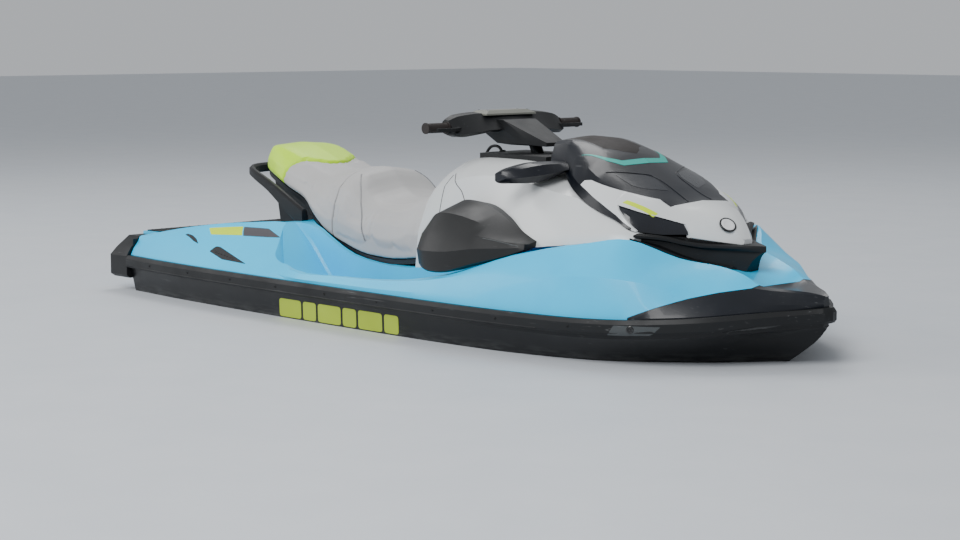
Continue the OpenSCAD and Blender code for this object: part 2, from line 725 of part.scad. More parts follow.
module seat_pylon() color([0.06, 0.06, 0.07]) moulding() difference() {
    hull() {
        block([-990, -150, 232], [-690, 150, 260]);
        block([-1050, -140, 470], [-720, 140, 480]);
    }
    translate([0, 0, fit]) deck_form();
    seat_path(seat_gap);
}

// Grab rail: point on the rail's centre, then its height and thickness
GRAB = [
    [-716, 254, 336, 76, 26],
    [-784, 254, 368, 74, 26],
    [-852, 252, 404, 66, 26],
    [-951, 248, 456, 48, 26],
    [-1050, 234, 490, 40, 26],
    [-1134, 192, 505, 38, 26],
    [-1186, 116, 510, 38, 28],
    [-1207, 0, 511, 38, 30]
];
grab_half = smooth_rows(GRAB, 3);
grab_path = concat(grab_half, [for (i = [len(grab_half) - 2 : -1 : 0]) let (g = grab_half[i]) [g[0], -g[1], g[2], g[3], g[4]]]);

function grab_ring(i) = let (
    g = grab_path[i], n = outline_dir(grab_path, i), w = g[4] / 2, h = g[3] / 2
) [for (q = [[-w, -h + 8], [-w + 8, -h], [w - 8, -h], [w, -h + 8], [w, h - 8], [w - 8, h], [-w + 8, h], [-w, h - 8]])
    [g[0] + n[0] * q[0], g[1] + n[1] * q[0], g[2] + q[1]]];

module grab_rail() color([0.06, 0.06, 0.07]) moulding() difference() {
    union() {
        loft([for (i = [0 : len(grab_path) - 1]) grab_ring(i)]);
        both_sides() block([-770, 236, 240], [-716, 264, 360]);
    }
    translate([0, 0, fit]) deck_form();
    seat_path(5);
}

// ---------- Engine and jet pump ----------

engine_x = [-610, -30];

module engine_block() color([0.45, 0.46, 0.48]) block([engine_x[0], -170, bay_low[2] + fit / kz], [engine_x[1], 170, 150]);

pump_front = tunnel_front - fit / kx;
pump_rear = -1380;
throat_x = -1440;
outlet_x = -1530;
outlet_r = 50;
nozzle_pivot_x = -1505;
ear_r = 16;
pin_r = 7;
gate_pivot = [-1470, 0, pump_axis_z];
gate_pin_r = 8;
gate_in = 178;
gate_plate_y = 98;

// Profile along X: pairs of distance ahead of the outlet and radius
module turned_x(x, points) translate(at([x, 0, pump_axis_z])) rotate([0, 90, 0]) rotate_extrude() polygon([for (p = points) [p[1], p[0]]]);

pump_length = (pump_front - outlet_x) * kx;
body_length = (pump_front - pump_rear) * kx;
throat_length = (throat_x - outlet_x) * kx;

module pump_housing() color([0.5, 0.5, 0.52]) difference() {
    union() {
        turned_x(outlet_x, [
            [0, outlet_r - 6], [0, outlet_r], [throat_length, outlet_r],
            [pump_length - body_length, pump_bore_r + pump_wall],
            [pump_length - 12, pump_bore_r + pump_wall], [pump_length - 12, pump_bore_r + pump_wall + 6],
            [pump_length, pump_bore_r + pump_wall + 6], [pump_length, pump_bore_r],
            [pump_length - body_length, pump_bore_r], [throat_length, outlet_r - 6]
        ]);
        for (side = [-1, 1]) pump_ear(side);
        for (side = [-1, 1]) gate_arm(side);
    }
    translate(at([nozzle_pivot_x, 0, pump_axis_z])) translate([0, 0, -120]) cylinder(r = pin_r + 0.1, h = 240);
    translate(at([outlet_x, 0, pump_axis_z])) rotate([0, 90, 0]) cylinder(r = outlet_r - 6, h = 100 * kx);
}

// Ear above or below the outlet, which holds the nozzle's pivot pin
module pump_ear(side) translate(at([nozzle_pivot_x, 0, pump_axis_z])) {
    low = side > 0 ? 76 : -86;
    translate([0, 0, low]) cylinder(r = ear_r, h = 10);
    translate([0, -10, low]) cube([(pump_rear - nozzle_pivot_x) * kx + 8, 20, 10]);
}

// Arm at the side of the pump, which carries the reverse gate's pin
module gate_arm(side) translate(at(gate_pivot)) {
    rotate([-90 * side, 0, 0]) translate([0, 0, 78]) cylinder(r = gate_pin_r, h = 34);
    translate([-12, side > 0 ? 78 : -90, -12]) cube([(pump_rear - gate_pivot[0]) * kx + 26, 12, 24]);
}

module ball_shell(r_out, r_in, from_x) difference() {
    union() {
        sphere(r = r_out);
        rotate([0, -90, 0]) cylinder(r = nozzle_r + 8, h = 112);
        for (side = [0, 180]) rotate([side, 0, 0]) cylinder(r = pin_r, h = 84);
    }
    sphere(r = r_in);
    rotate([0, -90, 0]) cylinder(r = nozzle_r, h = 130);
    translate([from_x, -150, -150]) cube([200, 300, 300]);
}

module steering_nozzle() color([0.1, 0.1, 0.11]) translate(at([nozzle_pivot_x, 0, pump_axis_z])) ball_shell(70, 62, 8);

// The gate is drawn raised; its shell is an arc about its pivot, measured up from the bow
gate_from = 112;
gate_sweep = 48;
gate_wall = 10;

function gate_arc(r, steps) = [for (i = [0 : steps]) let (a = gate_from + gate_sweep * i / steps) [r * cos(a), r * sin(a)]];

module gate_slice(points, y_high, width) translate([0, y_high, 0]) rotate([90, 0, 0]) linear_extrude(width) polygon(points);

module reverse_gate() color([0.1, 0.1, 0.11]) translate(at(gate_pivot)) difference() {
    union() {
        gate_slice(concat(gate_arc(gate_in + gate_wall, 12), [for (i = [12 : -1 : 0]) gate_arc(gate_in, 12)[i]]),
                   gate_plate_y + 8, 2 * gate_plate_y + 16);
        for (high = [-gate_plate_y, gate_plate_y + 8]) {
            gate_slice(concat([[0, -6], [6, 0]], gate_arc(gate_in + gate_wall / 2, 12)), high, 8);
            translate([0, high, 0]) rotate([90, 0, 0]) cylinder(r = 22, h = 8);
        }
    }
    rotate([90, 0, 0]) cylinder(r = gate_pin_r + 0.1, h = 400, center = true);
}

blade_r = pump_bore_r - tip_gap;
hub_r = 34;
impeller_x = -1300;

module impeller() color([0.75, 0.75, 0.77]) translate(at([impeller_x, 0, pump_axis_z])) rotate([0, 90, 0]) difference() {
    union() {
        cylinder(r = hub_r, h = 70);
        for (turn = [0 : 120 : 240]) rotate([0, 0, turn])
            translate([0, 0, 35]) rotate([38, 0, 0]) translate([hub_r - 8, -4, -36]) cube([blade_r - hub_r - 2, 8, 72]);
    }
    translate([0, 0, -1]) cylinder(r = shaft_r + 0.05, h = 72);
}

module drive_shaft() color([0.7, 0.7, 0.72]) along_x(impeller_x + 1, pump_axis_z, shaft_r, (engine_x[0] - impeller_x - 1) * kx - fit);

// Height of the hull's V bottom beside the intake
function bottom_z(y) = -345 + 0.374 * abs(y);
intake_x = [-1110, -830];
intake_half = 82;

// Bars along the intake, in a frame that fills its mouth
module intake_grate() color([0.2, 0.2, 0.21]) {
    for (y = [-64, -23, 17, 58]) block([intake_x[0] + 6, y, bottom_z(y + 3) + 9], [intake_x[1] - 6, y + 6, bottom_z(y + 3) + 22]);
    for (x = [intake_x[0] + 2 * fit, intake_x[1] - 12 - 2 * fit]) both_sides() side_bar(x);
}

module side_bar(x) translate(at([x, 0, 0])) rotate([90, 0, 90]) linear_extrude(12 * kx)
    polygon([for (p = [[-1, 0], [intake_half - 2 * fit / ky, 0], [intake_half - 2 * fit / ky, 20], [-1, 20]]) [p[0] * ky, (bottom_z(max(p[0], 0)) + 6 + p[1]) * kz]]);

module ride_plate() color([0.25, 0.25, 0.26]) moulding() intersection() {
    hull_form();
    block([x_transom + 2, -tunnel_half + fit / ky, -400], [tunnel_front - 10, tunnel_half - fit / ky, pump_axis_z - (pump_bore_r + pump_wall + 9) / kz]);
}

// ---------- Stern fittings ----------

step_hinge = [-1634, 0, -40];
step_rise = 176;
tube_r = 9;

module step_tube(y, from, to) translate(at([step_hinge[0], y, from])) cylinder(r = tube_r, h = (to - from) * kz);

module boarding_step() color([0.15, 0.15, 0.16]) {
    difference() {
        for (y = [step_y[0] + 14, step_y[1] - 14]) step_tube(y, step_hinge[2], step_hinge[2] + step_rise);
        step_pin(0.1);
    }
    difference() {
        translate(at([step_hinge[0], step_y[0], step_hinge[2]])) rotate([-90, 0, 0])
            cylinder(r = 13, h = (step_y[1] - step_y[0]) * ky);
        step_pin(0.1);
    }
    translate(at([step_hinge[0], step_y[0], step_hinge[2] + step_rise])) translate([-20, 0, -6])
        cube([38, (step_y[1] - step_y[0]) * ky, 12]);
}

module step_pin(gap) translate(at([step_hinge[0], step_y[0] - 30, step_hinge[2]])) rotate([-90, 0, 0])
    cylinder(r = 6 + gap, h = (step_y[1] - step_y[0] + 60) * ky);

module step_bracket() color([0.15, 0.15, 0.16]) {
    step_pin(0);
    for (y = [step_y[0] - 24, step_y[1] + 10]) {
        hull() {
            translate(at([step_hinge[0], y, step_hinge[2]])) rotate([-90, 0, 0]) cylinder(r = 13, h = 12);
            block([x_transom - 12, y, step_hinge[2] - 30], [x_transom - fit / kx, y + 12, step_hinge[2] + 30]);
        }
    }
}

module sponsons() color([0.06, 0.06, 0.07]) moulding() both_sides() difference() {
    hull() {
        block([-1440, 492, -112], [-800, 548, -98]);
        block([-1470, 492, -92], [-760, 560, -50]);
    }
    translate([0, fit, -fit]) hull_form();
    translate([0, fit, fit]) hull_form();
}

// Towing eye: a flat ring on a shank, which runs back into the hull along -X of its own frame
eye_hole = 12;
eye_r = 19;
eye_thick = 9;
eye_shank = [46, 22];
bow_eye_at = [1451, 0, -57];
bow_eye_turn = 50;
tow_eye_at = [-1526, 0, 24];
tow_eye_turn = 180;

module eye_shank(gap) translate([-eye_shank[0] - gap, -eye_thick / 2 - gap, -eye_shank[1] / 2 - gap])
    cube([eye_shank[0] + gap - 14, eye_thick + 2 * gap, eye_shank[1] + 2 * gap]);

module eye_holes(place, turn) translate(at(place)) rotate([0, turn, 0]) eye_shank(fit);

module eye_bolt(place, turn) color([0.8, 0.8, 0.82]) translate(at(place)) rotate([0, turn, 0]) {
    rotate([90, 0, 0]) difference() {
        cylinder(r = eye_r, h = eye_thick, center = true);
        cylinder(r = eye_hole, h = eye_thick + 2, center = true);
    }
    eye_shank(0);
}

hull_part();  // hull
deck_part();  // deck
bow_cover();
bumper_rail();
color([0.05, 0.06, 0.07]) stern_bumper();  // stern_bumper_port
color([0.05, 0.06, 0.07]) mirror([0, 1, 0]) stern_bumper();  // stern_bumper_starboard
footwell_mats();
platform_mat();
console();
glovebox_lid();
steering_base();
knee_fairing();  // knee_fairing_port
mirror([0, 1, 0]) knee_fairing();  // knee_fairing_starboard
nose_grille();
hood_shroud();
hood_nose();
hood_cap();
hood_insets();
mirror_housing();  // mirror_housing_port
mirror([0, 1, 0]) mirror_housing();  // mirror_housing_starboard
mirror_glasses();
gauge_display();
steering_column();
handlebar_cover();
handlebar_pad();
handlebar_tube();
grips();
color([0.1, 0.1, 0.1]) mirror([0, 1, 0]) lever_part();  // throttle_lever
color([0.1, 0.1, 0.1]) lever_part();  // brake_lever
seat_base();
color([0.75, 0.76, 0.76]) cushion_between(seam_x + 1, 0);  // seat_front_cushion
color([0.75, 0.76, 0.76]) rear_cushion();  // seat_rear_cushion
color([0.75, 0.9, 0.1]) rear_trim();  // seat_rear_trim
seat_pylon();
grab_rail();
engine_block();
drive_shaft();
impeller();
pump_housing();
intake_grate();
ride_plate();
steering_nozzle();
reverse_gate();
boarding_step();
step_bracket();
sponsons();
eye_bolt(bow_eye_at, bow_eye_turn);  // bow_eye
eye_bolt(tow_eye_at, tow_eye_turn);  // tow_eye
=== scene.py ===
"""Looks of a sit-down personal watercraft, built around its solid parts.

Every sub-assembly is a class that dresses its solid parts in their finishes and
adds the detail that rides on them. Lengths are in metres: X forward, Y to port,
Z up from the waterline.
"""

from __future__ import annotations

import json
import logging
import math
from dataclasses import dataclass, field
from enum import Enum
from typing import Iterable, Sequence

import bmesh
import bpy
from mathutils import Euler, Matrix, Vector
from mathutils.bvhtree import BVHTree
from mathutils.geometry import delaunay_2d_cdt

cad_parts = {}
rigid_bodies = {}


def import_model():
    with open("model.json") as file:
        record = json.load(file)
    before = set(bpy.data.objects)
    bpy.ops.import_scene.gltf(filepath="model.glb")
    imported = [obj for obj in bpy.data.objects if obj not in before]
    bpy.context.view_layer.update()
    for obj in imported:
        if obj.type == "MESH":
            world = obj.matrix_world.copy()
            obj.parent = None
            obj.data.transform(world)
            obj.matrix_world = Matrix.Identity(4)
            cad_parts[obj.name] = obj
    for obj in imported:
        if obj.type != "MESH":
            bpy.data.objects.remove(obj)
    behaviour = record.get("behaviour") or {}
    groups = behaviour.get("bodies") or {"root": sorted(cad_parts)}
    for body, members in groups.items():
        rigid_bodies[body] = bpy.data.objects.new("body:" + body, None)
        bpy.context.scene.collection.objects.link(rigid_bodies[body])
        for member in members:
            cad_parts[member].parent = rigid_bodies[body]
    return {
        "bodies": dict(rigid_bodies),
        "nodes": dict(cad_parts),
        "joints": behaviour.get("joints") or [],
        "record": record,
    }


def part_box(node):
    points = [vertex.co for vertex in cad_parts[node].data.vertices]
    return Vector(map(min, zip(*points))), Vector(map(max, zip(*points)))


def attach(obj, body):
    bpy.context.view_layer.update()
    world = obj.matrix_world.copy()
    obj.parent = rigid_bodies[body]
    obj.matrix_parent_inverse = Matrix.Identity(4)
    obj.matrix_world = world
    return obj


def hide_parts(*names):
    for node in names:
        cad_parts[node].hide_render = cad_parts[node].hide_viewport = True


log = logging.getLogger("watercraft")

Point = tuple[float, float, float]
Colour = tuple[float, float, float, float]
Outline = tuple[Point, ...]

STARBOARD_AND_PORT = (-1, 1)
STAMP_SIZE = 1.0
# How far outside a skin a ray starts, and how far in it looks
RAY_BACK = 0.12
RAY_REACH = 0.4


def tint(code: str) -> Colour:
    """Turns a hex colour into scene-linear values.

    Args:
        code: six hex digits.

    Returns:
        Red, green, blue and an alpha of one.
    """
    parts = [int(code[i : i + 2], 16) / 255 for i in (0, 2, 4)]
    red, green, blue = [p / 12.92 if p <= 0.04045 else ((p + 0.055) / 1.055) ** 2.4 for p in parts]
    return red, green, blue, 1.0


# ---------------------------------------------------------------- finishes


class Surface(Enum):
    """How the face of a finish is formed."""

    GELCOAT = "gelcoat"
    MOULDED = "moulded"
    VINYL = "vinyl"
    RUBBER = "rubber"
    FOAM = "foam"
    CAST = "cast"
    BRUSHED = "brushed"
    GLASS = "glass"


@dataclass(frozen=True)
class Finish:
    """One material of the craft and what it shows close up."""

    name: str
    colour: str
    shade: str
    surface: Surface = Surface.MOULDED
    roughness: float = 0.4
    spread: float = 0.08
    metallic: float = 0.0
    coat: float = 0.0
    specular: float = 0.5
    sheen: float = 0.0
    relief: float = 1.0
    scuffs: float = 0.12
    wet_line: bool = False

    def build(self) -> bpy.types.Material:
        """Makes the material once and returns it after that."""
        found = bpy.data.materials.get(self.name)
        return found if found else FinishBench(self).material


class NodeBench:
    """Adds and joins the nodes of one tree."""

    tree: bpy.types.NodeTree

    def add(self, kind: str, values: dict | None = None, **settings: object) -> bpy.types.Node:
        """Adds a node.

        Args:
            kind: the node's type name.
            values: input values by socket name.
            settings: attributes of the node.

        Returns:
            The new node.
        """
        node = self.tree.nodes.new(kind)
        for key, value in settings.items():
            setattr(node, key, value)
        for key, value in (values or {}).items():
            node.inputs[key].default_value = value
        return node

    def join(self, source: bpy.types.NodeSocket, target: bpy.types.NodeSocket) -> None:
        """Links one socket to another."""
        self.tree.links.new(source, target)


class FinishBench(NodeBench):
    """Lays out the shader nodes of one finish."""

    GRAINS = {
        Surface.GELCOAT: (220.0, 60.0, 0.00002),
        Surface.MOULDED: (900.0, 120.0, 0.00010),
        Surface.VINYL: (650.0, 140.0, 0.00016),
        Surface.RUBBER: (1100.0, 200.0, 0.00007),
        Surface.FOAM: (1600.0, 300.0, 0.00022),
        Surface.CAST: (700.0, 90.0, 0.00018),
        Surface.BRUSHED: (1400.0, 60.0, 0.00004),
        Surface.GLASS: (40.0, 12.0, 0.000004),
    }

    def __init__(self, finish: Finish) -> None:
        """Builds the material of a finish.

        Args:
            finish: the finish to lay out.
        """
        self.finish = finish
        self.material = bpy.data.materials.new(finish.name)
        self.material.use_nodes = True
        self.tree = self.material.node_tree
        self.shader = self.tree.nodes["Principled BSDF"]
        self.place = self.add("ShaderNodeTexCoord").outputs["Object"]
        self.scuff = self.scuff_mask()
        self.colour()
        self.roughness()
        self.bump()
        self.plain_values()

    def stretched(self, scale: Point, turn: float = 0.0) -> bpy.types.NodeSocket:
        """Returns object coordinates scaled and turned about Z."""
        mapping = self.add("ShaderNodeMapping", {"Scale": scale, "Rotation": (0, 0, turn)})
        self.join(self.place, mapping.inputs["Vector"])
        return mapping.outputs["Vector"]

    def noise(
        self, scale: float, detail: float, where: bpy.types.NodeSocket | None = None
    ) -> bpy.types.NodeSocket:
        """Adds a noise.

        Args:
            scale: waves to the metre.
            detail: octaves.
            where: coordinates, or none for the piece's own.

        Returns:
            The noise value.
        """
        node = self.add("ShaderNodeTexNoise", {"Scale": scale, "Detail": detail, "Roughness": 0.55})
        self.join(where or self.place, node.inputs["Vector"])
        return node.outputs["Fac"]

    def ramp(
        self, value: bpy.types.NodeSocket, low: float, high: float,
        out: tuple[float, float] = (0.0, 1.0),
    ) -> bpy.types.NodeSocket:
        """Maps a value from low…high to out, clamped, and returns it."""
        node = self.add(
            "ShaderNodeMapRange",
            {"From Min": low, "From Max": high, "To Min": out[0], "To Max": out[1]},
        )
        self.join(value, node.inputs["Value"])
        return node.outputs["Result"]

    def math(
        self, kind: str, first: bpy.types.NodeSocket, second: bpy.types.NodeSocket | float
    ) -> bpy.types.NodeSocket:
        """Adds a math node of two values and returns its result."""
        node = self.add("ShaderNodeMath", operation=kind)
        self.join(first, node.inputs[0])
        if isinstance(second, (int, float)):
            node.inputs[1].default_value = second
        else:
            self.join(second, node.inputs[1])
        return node.outputs["Value"]

    def scuff_mask(self) -> bpy.types.NodeSocket:
        """Returns fine scratches that lie along the craft, in worn patches."""
        lines = self.ramp(self.noise(60.0, 6.0, self.stretched((0.12, 1.0, 2.4), 0.12)), 0.62, 0.72)
        patches = self.ramp(self.noise(5.0, 2.0), 0.5, 0.62)
        return self.math("MULTIPLY", lines, patches)

    def colour(self) -> None:
        """Mixes the two tones, with scuffs and the drying line of the water."""
        tone = self.ramp(self.noise(3.2, 4.0), 0.3, 0.7)
        mix = self.add("ShaderNodeMix", data_type="RGBA")
        mix.inputs["A"].default_value = tint(self.finish.colour)
        mix.inputs["B"].default_value = tint(self.finish.shade)
        self.join(self.math("MULTIPLY", tone, 0.8), mix.inputs["Factor"])
        last = mix.outputs["Result"]
        pale = self.add("ShaderNodeMix", data_type="RGBA")
        pale.inputs["B"].default_value = (0.45, 0.46, 0.47, 1.0)
        self.join(self.math("MULTIPLY", self.scuff, self.finish.scuffs), pale.inputs["Factor"])
        self.join(last, pale.inputs["A"])
        last = pale.outputs["Result"]
        if self.finish.wet_line:
            split = self.add("ShaderNodeSeparateXYZ")
            self.join(self.place, split.inputs["Vector"])
            painted_highlight = self.ramp(split.outputs["Z"], 0.045, 0.005)
            ripple = self.ramp(self.noise(28.0, 5.0, self.stretched((0.5, 0.5, 3.0))), 0.42, 0.68)
            salt = self.add("ShaderNodeMix", data_type="RGBA")
            salt.inputs["B"].default_value = (0.12, 0.125, 0.12, 1.0)
            self.join(
                self.math("MULTIPLY", self.math("MULTIPLY", painted_highlight, ripple), 0.35),
                salt.inputs["Factor"],
            )
            self.join(last, salt.inputs["A"])
            last = salt.outputs["Result"]
        self.join(last, self.shader.inputs["Base Color"])

    def roughness(self) -> None:
        """Varies the roughness with handling marks."""
        finish = self.finish
        smear = self.ramp(
            self.noise(9.0, 5.0), 0.3, 0.7,
            (finish.roughness - finish.spread, finish.roughness + finish.spread),
        )
        marks = self.math("MULTIPLY", self.scuff, 0.25)
        self.join(self.math("ADD", smear, marks), self.shader.inputs["Roughness"])

    def bump(self) -> None:
        """Adds the grain of the surface."""
        finish = self.finish
        fine, broad, height = self.GRAINS[finish.surface]
        if finish.surface in (Surface.VINYL, Surface.MOULDED, Surface.FOAM):
            cells = self.add(
                "ShaderNodeTexVoronoi", {"Scale": fine, "Randomness": 1.0}, feature="SMOOTH_F1"
            )
            self.join(self.place, cells.inputs["Vector"])
            grain = self.math("MULTIPLY", cells.outputs["Distance"], 1.0)
        elif finish.surface is Surface.BRUSHED:
            grain = self.noise(fine, 3.0, self.stretched((0.05, 1.0, 1.0)))
        else:
            grain = self.noise(fine, 3.0)
        height_now = self.math("ADD", grain, self.math("MULTIPLY", self.noise(broad, 2.0), 0.5))
        node = self.add("ShaderNodeBump", {"Strength": 0.6, "Distance": height * finish.relief})
        self.join(height_now, node.inputs["Height"])
        self.join(node.outputs["Normal"], self.shader.inputs["Normal"])

    def plain_values(self) -> None:
        """Sets the values that are the same all over."""
        finish, inputs = self.finish, self.shader.inputs
        inputs["Metallic"].default_value = finish.metallic
        inputs["Specular IOR Level"].default_value = finish.specular
        inputs["Coat Weight"].default_value = finish.coat
        inputs["Coat Roughness"].default_value = 0.06
        inputs["Sheen Weight"].default_value = finish.sheen
        inputs["Sheen Roughness"].default_value = 0.5


HULL_BLACK = Finish(
    "hull_gelcoat", "07090c", "0d1014", Surface.GELCOAT, 0.38, 0.07, coat=0.1, specular=0.35,
    scuffs=0.14, wet_line=True,
)
DECK_BLUE = Finish(
    "deck_gelcoat", "00ccff", "00c0f6", Surface.GELCOAT, 0.36, 0.05, coat=0.15, specular=0.35,
    scuffs=0.03,
)
COVER_BLACK = Finish(
    "bow_gloss_black", "070b12", "0e1520", Surface.GELCOAT, 0.34, 0.05, coat=0.12, specular=0.4
)
SHROUD_BLACK = Finish(
    "hood_gloss_black", "060911", "0b111c", Surface.GELCOAT, 0.33, 0.05, coat=0.1, specular=0.35
)
BUMPER = Finish(
    "bumper_rubber", "0e1012", "17191b", Surface.RUBBER, 0.52, 0.08, specular=0.35, scuffs=0.22
)
MAT = Finish("mat_foam", "101214", "1b1e20", Surface.FOAM, 0.82, 0.06, scuffs=0.3)
PANEL_GREY = Finish(
    "panel_grey", "a9a9aa", "9fa0a2", Surface.GELCOAT, 0.42, 0.06, coat=0.08, specular=0.4,
    scuffs=0.03,
)
TRIM_BLACK = Finish(
    "trim_grained_black", "0d0e10", "151719", Surface.MOULDED, 0.5, 0.08, specular=0.35, scuffs=0.15
)
FAIRING = Finish(
    "fairing_black", "121314", "1b1c1d", Surface.MOULDED, 0.46, 0.06, specular=0.4, scuffs=0.12
)
# Dark glossy tint of the hood insets; also used, a little lighter than the shroud, as painted light
# on the shroud scoop's facets.
SMOKED_AND_LIT_FACET = Finish(
    "smoked_panel", "10131a", "181c25", Surface.GELCOAT, 0.28, 0.04, coat=0.2, specular=0.45
)
CAP_BROWN = Finish(
    "cap_textured_brown", "140d0a", "1e1511", Surface.MOULDED, 0.58, 0.08, specular=0.3, relief=1.8
)
TEAL = Finish(
    "teal_stripe", "00a89b", "009a90", Surface.GELCOAT, 0.42, 0.04, coat=0.1, specular=0.3
)
LIME = Finish(
    "lime_decal", "d2ec1c", "c8e314", Surface.GELCOAT, 0.42, 0.05, coat=0.05, specular=0.3,
    scuffs=0.03,
)
LIME_HULL = Finish(
    "lime_hull_decal", "b9cf3c", "adc234", Surface.GELCOAT, 0.46, 0.06, coat=0.05, specular=0.3,
    scuffs=0.14,
)
DECAL_GREY = Finish("dark_grey_decal", "4a474b", "3f3d41", Surface.GELCOAT, 0.42, 0.05, coat=0.1)
# Grey of the rail insets and pod buttons; also the painted highlight cord on the knee fairings.
INSET_GREY = Finish("rail_inset_grey", "3a3e40", "474b4c", Surface.RUBBER, 0.5, 0.06, scuffs=0.3)
# Gloss black of the nose ring rim and vents; also the painted shade in the bow scoops.
RING_DARK = Finish("ring_black", "08090b", "121416", Surface.GELCOAT, 0.25, 0.04, coat=0.5)
RING_WHITE = Finish("ring_white", "e6e7e8", "d8dadb", Surface.GELCOAT, 0.3, 0.04, coat=0.4)
MIRROR = Finish(
    "mirror_silver", "c9d0d6", "bcc4cb", Surface.GLASS, 0.05, 0.02, metallic=1.0, scuffs=0.0
)
DISPLAY = Finish(
    "display_glass", "05070a", "0a0f16", Surface.GLASS, 0.08, 0.03, coat=1.0, scuffs=0.0
)
BAR_PAD = Finish("bar_pad_silver", "6f7068", "7d7e76", Surface.MOULDED, 0.46, 0.07, specular=0.4)
BAR_METAL = Finish("bar_black_metal", "101214", "1b1d20", Surface.BRUSHED, 0.38, 0.06, metallic=0.8)
GRIP = Finish("grip_rubber", "1b1514", "2a2220", Surface.RUBBER, 0.72, 0.06, scuffs=0.3, relief=1.6)
VINYL = Finish(
    "seat_vinyl_grey", "b4b3b2", "aaa9a8", Surface.VINYL, 0.5, 0.06, sheen=0.12, scuffs=0.04,
    relief=1.3,
)
VINYL_LIME = Finish(
    "seat_vinyl_lime", "c8f800", "bcec00", Surface.VINYL, 0.46, 0.06, sheen=0.1, scuffs=0.04,
    relief=1.3,
)
SEAM_THREAD = Finish("seam_thread", "6e7074", "5c5e62", Surface.RUBBER, 0.7, 0.05)
SEAM_DARK = Finish("seam_shadow", "2b2d31", "1f2124", Surface.RUBBER, 0.75, 0.05)
TRAY = Finish("seat_tray_black", "141518", "1d1f22", Surface.MOULDED, 0.5, 0.08)
ENGINE = Finish("engine_cast", "4b4f52", "5a5e61", Surface.CAST, 0.5, 0.1, metallic=0.7)
STEEL = Finish("steel_brushed", "aeb3b8", "9ea4aa", Surface.BRUSHED, 0.28, 0.07, metallic=1.0)
PUMP = Finish("pump_cast_alloy", "8b9094", "7a7f83", Surface.CAST, 0.42, 0.1, metallic=0.9)
RIDE = Finish("ride_plate_alloy", "6c7175", "5b6064", Surface.CAST, 0.45, 0.1, metallic=0.85)
NOZZLE = Finish("nozzle_black", "121417", "1c1f23", Surface.CAST, 0.5, 0.08)


# ---------------------------------------------------------------- node trees


class GeometryBench(NodeBench):
    """Lays out one geometry node tree with named inputs."""

    def __init__(self, name: str) -> None:
        """Starts an empty tree that takes and gives geometry.

        Args:
            name: the tree's name.
        """
        self.tree = bpy.data.node_groups.new(name, "GeometryNodeTree")
        self.tree.interface.new_socket("Geometry", in_out="INPUT", socket_type="NodeSocketGeometry")
        self.tree.interface.new_socket(
            "Geometry", in_out="OUTPUT", socket_type="NodeSocketGeometry"
        )
        self.inputs: dict[str, str] = {}
        self.entry = self.tree.nodes.new("NodeGroupInput")
        self.exit = self.tree.nodes.new("NodeGroupOutput")

    def ask(self, name: str, kind: str) -> None:
        """Adds a named input of a socket type."""
        item = self.tree.interface.new_socket(name, in_out="INPUT", socket_type=kind)
        self.inputs[name] = item.identifier

    def finish(self, geometry: bpy.types.NodeSocket) -> None:
        """Realizes the instances, sets the material and ends the tree."""
        real = self.add("GeometryNodeRealizeInstances")
        paint = self.add("GeometryNodeSetMaterial")
        self.join(geometry, real.inputs["Geometry"])
        self.join(real.outputs["Geometry"], paint.inputs["Geometry"])
        self.join(self.entry.outputs["Finish"], paint.inputs["Material"])
        self.join(paint.outputs["Geometry"], self.exit.inputs["Geometry"])

    def make(
        self, piece: bpy.types.Object, values: dict[str, object], material: bpy.types.Material
    ) -> None:
        """Runs the tree on a piece and leaves the plain mesh.

        Args:
            piece: the object whose mesh goes in.
            values: input values by name.
            material: the finish of the result.
        """
        modifier = piece.modifiers.new(self.tree.name, "NODES")
        modifier.node_group = self.tree
        for name, value in {**values, "Finish": material}.items():
            modifier[self.inputs[name]] = value
        settle(piece)
        recalculate(piece)
        coat(piece, material)


def settle(piece: bpy.types.Object) -> None:
    """Turns a piece's modifiers into its plain mesh."""
    bpy.context.view_layer.update()
    seen = piece.evaluated_get(bpy.context.evaluated_depsgraph_get())
    mesh = bpy.data.meshes.new_from_object(seen)
    piece.modifiers.clear()
    old, piece.data = piece.data, mesh
    mesh.name = piece.name
    bpy.data.meshes.remove(old)


def recalculate(piece: bpy.types.Object) -> None:
    """Merges doubles and turns every face outwards."""
    work = bmesh.new()
    work.from_mesh(piece.data)
    bmesh.ops.remove_doubles(work, verts=work.verts, dist=1e-6)
    bmesh.ops.recalc_face_normals(work, faces=work.faces)
    work.to_mesh(piece.data)
    work.free()


def coat(piece: bpy.types.Object, material: bpy.types.Material) -> None:
    """Gives a piece one material and smooth shading by angle."""
    piece.data.materials.clear()
    piece.data.materials.append(material)
    piece.data.polygons.foreach_set("material_index", [0] * len(piece.data.polygons))
    piece.data.shade_smooth()
    piece.data.set_sharp_from_angle(angle=math.radians(38))


def new_piece(
    name: str, points: Sequence[Point | Vector], edges: Sequence = (), faces: Sequence = ()
) -> bpy.types.Object:
    """Makes an object from plain mesh data.

    Args:
        name: the object's name.
        points: vertices.
        edges: pairs of vertex numbers.
        faces: loops of vertex numbers.

    Returns:
        The linked object, at the origin.
    """
    mesh = bpy.data.meshes.new(name)
    mesh.from_pydata([tuple(p) for p in points], list(edges), list(faces))
    mesh.update()
    piece = bpy.data.objects.new(name, mesh)
    bpy.context.scene.collection.objects.link(piece)
    return piece


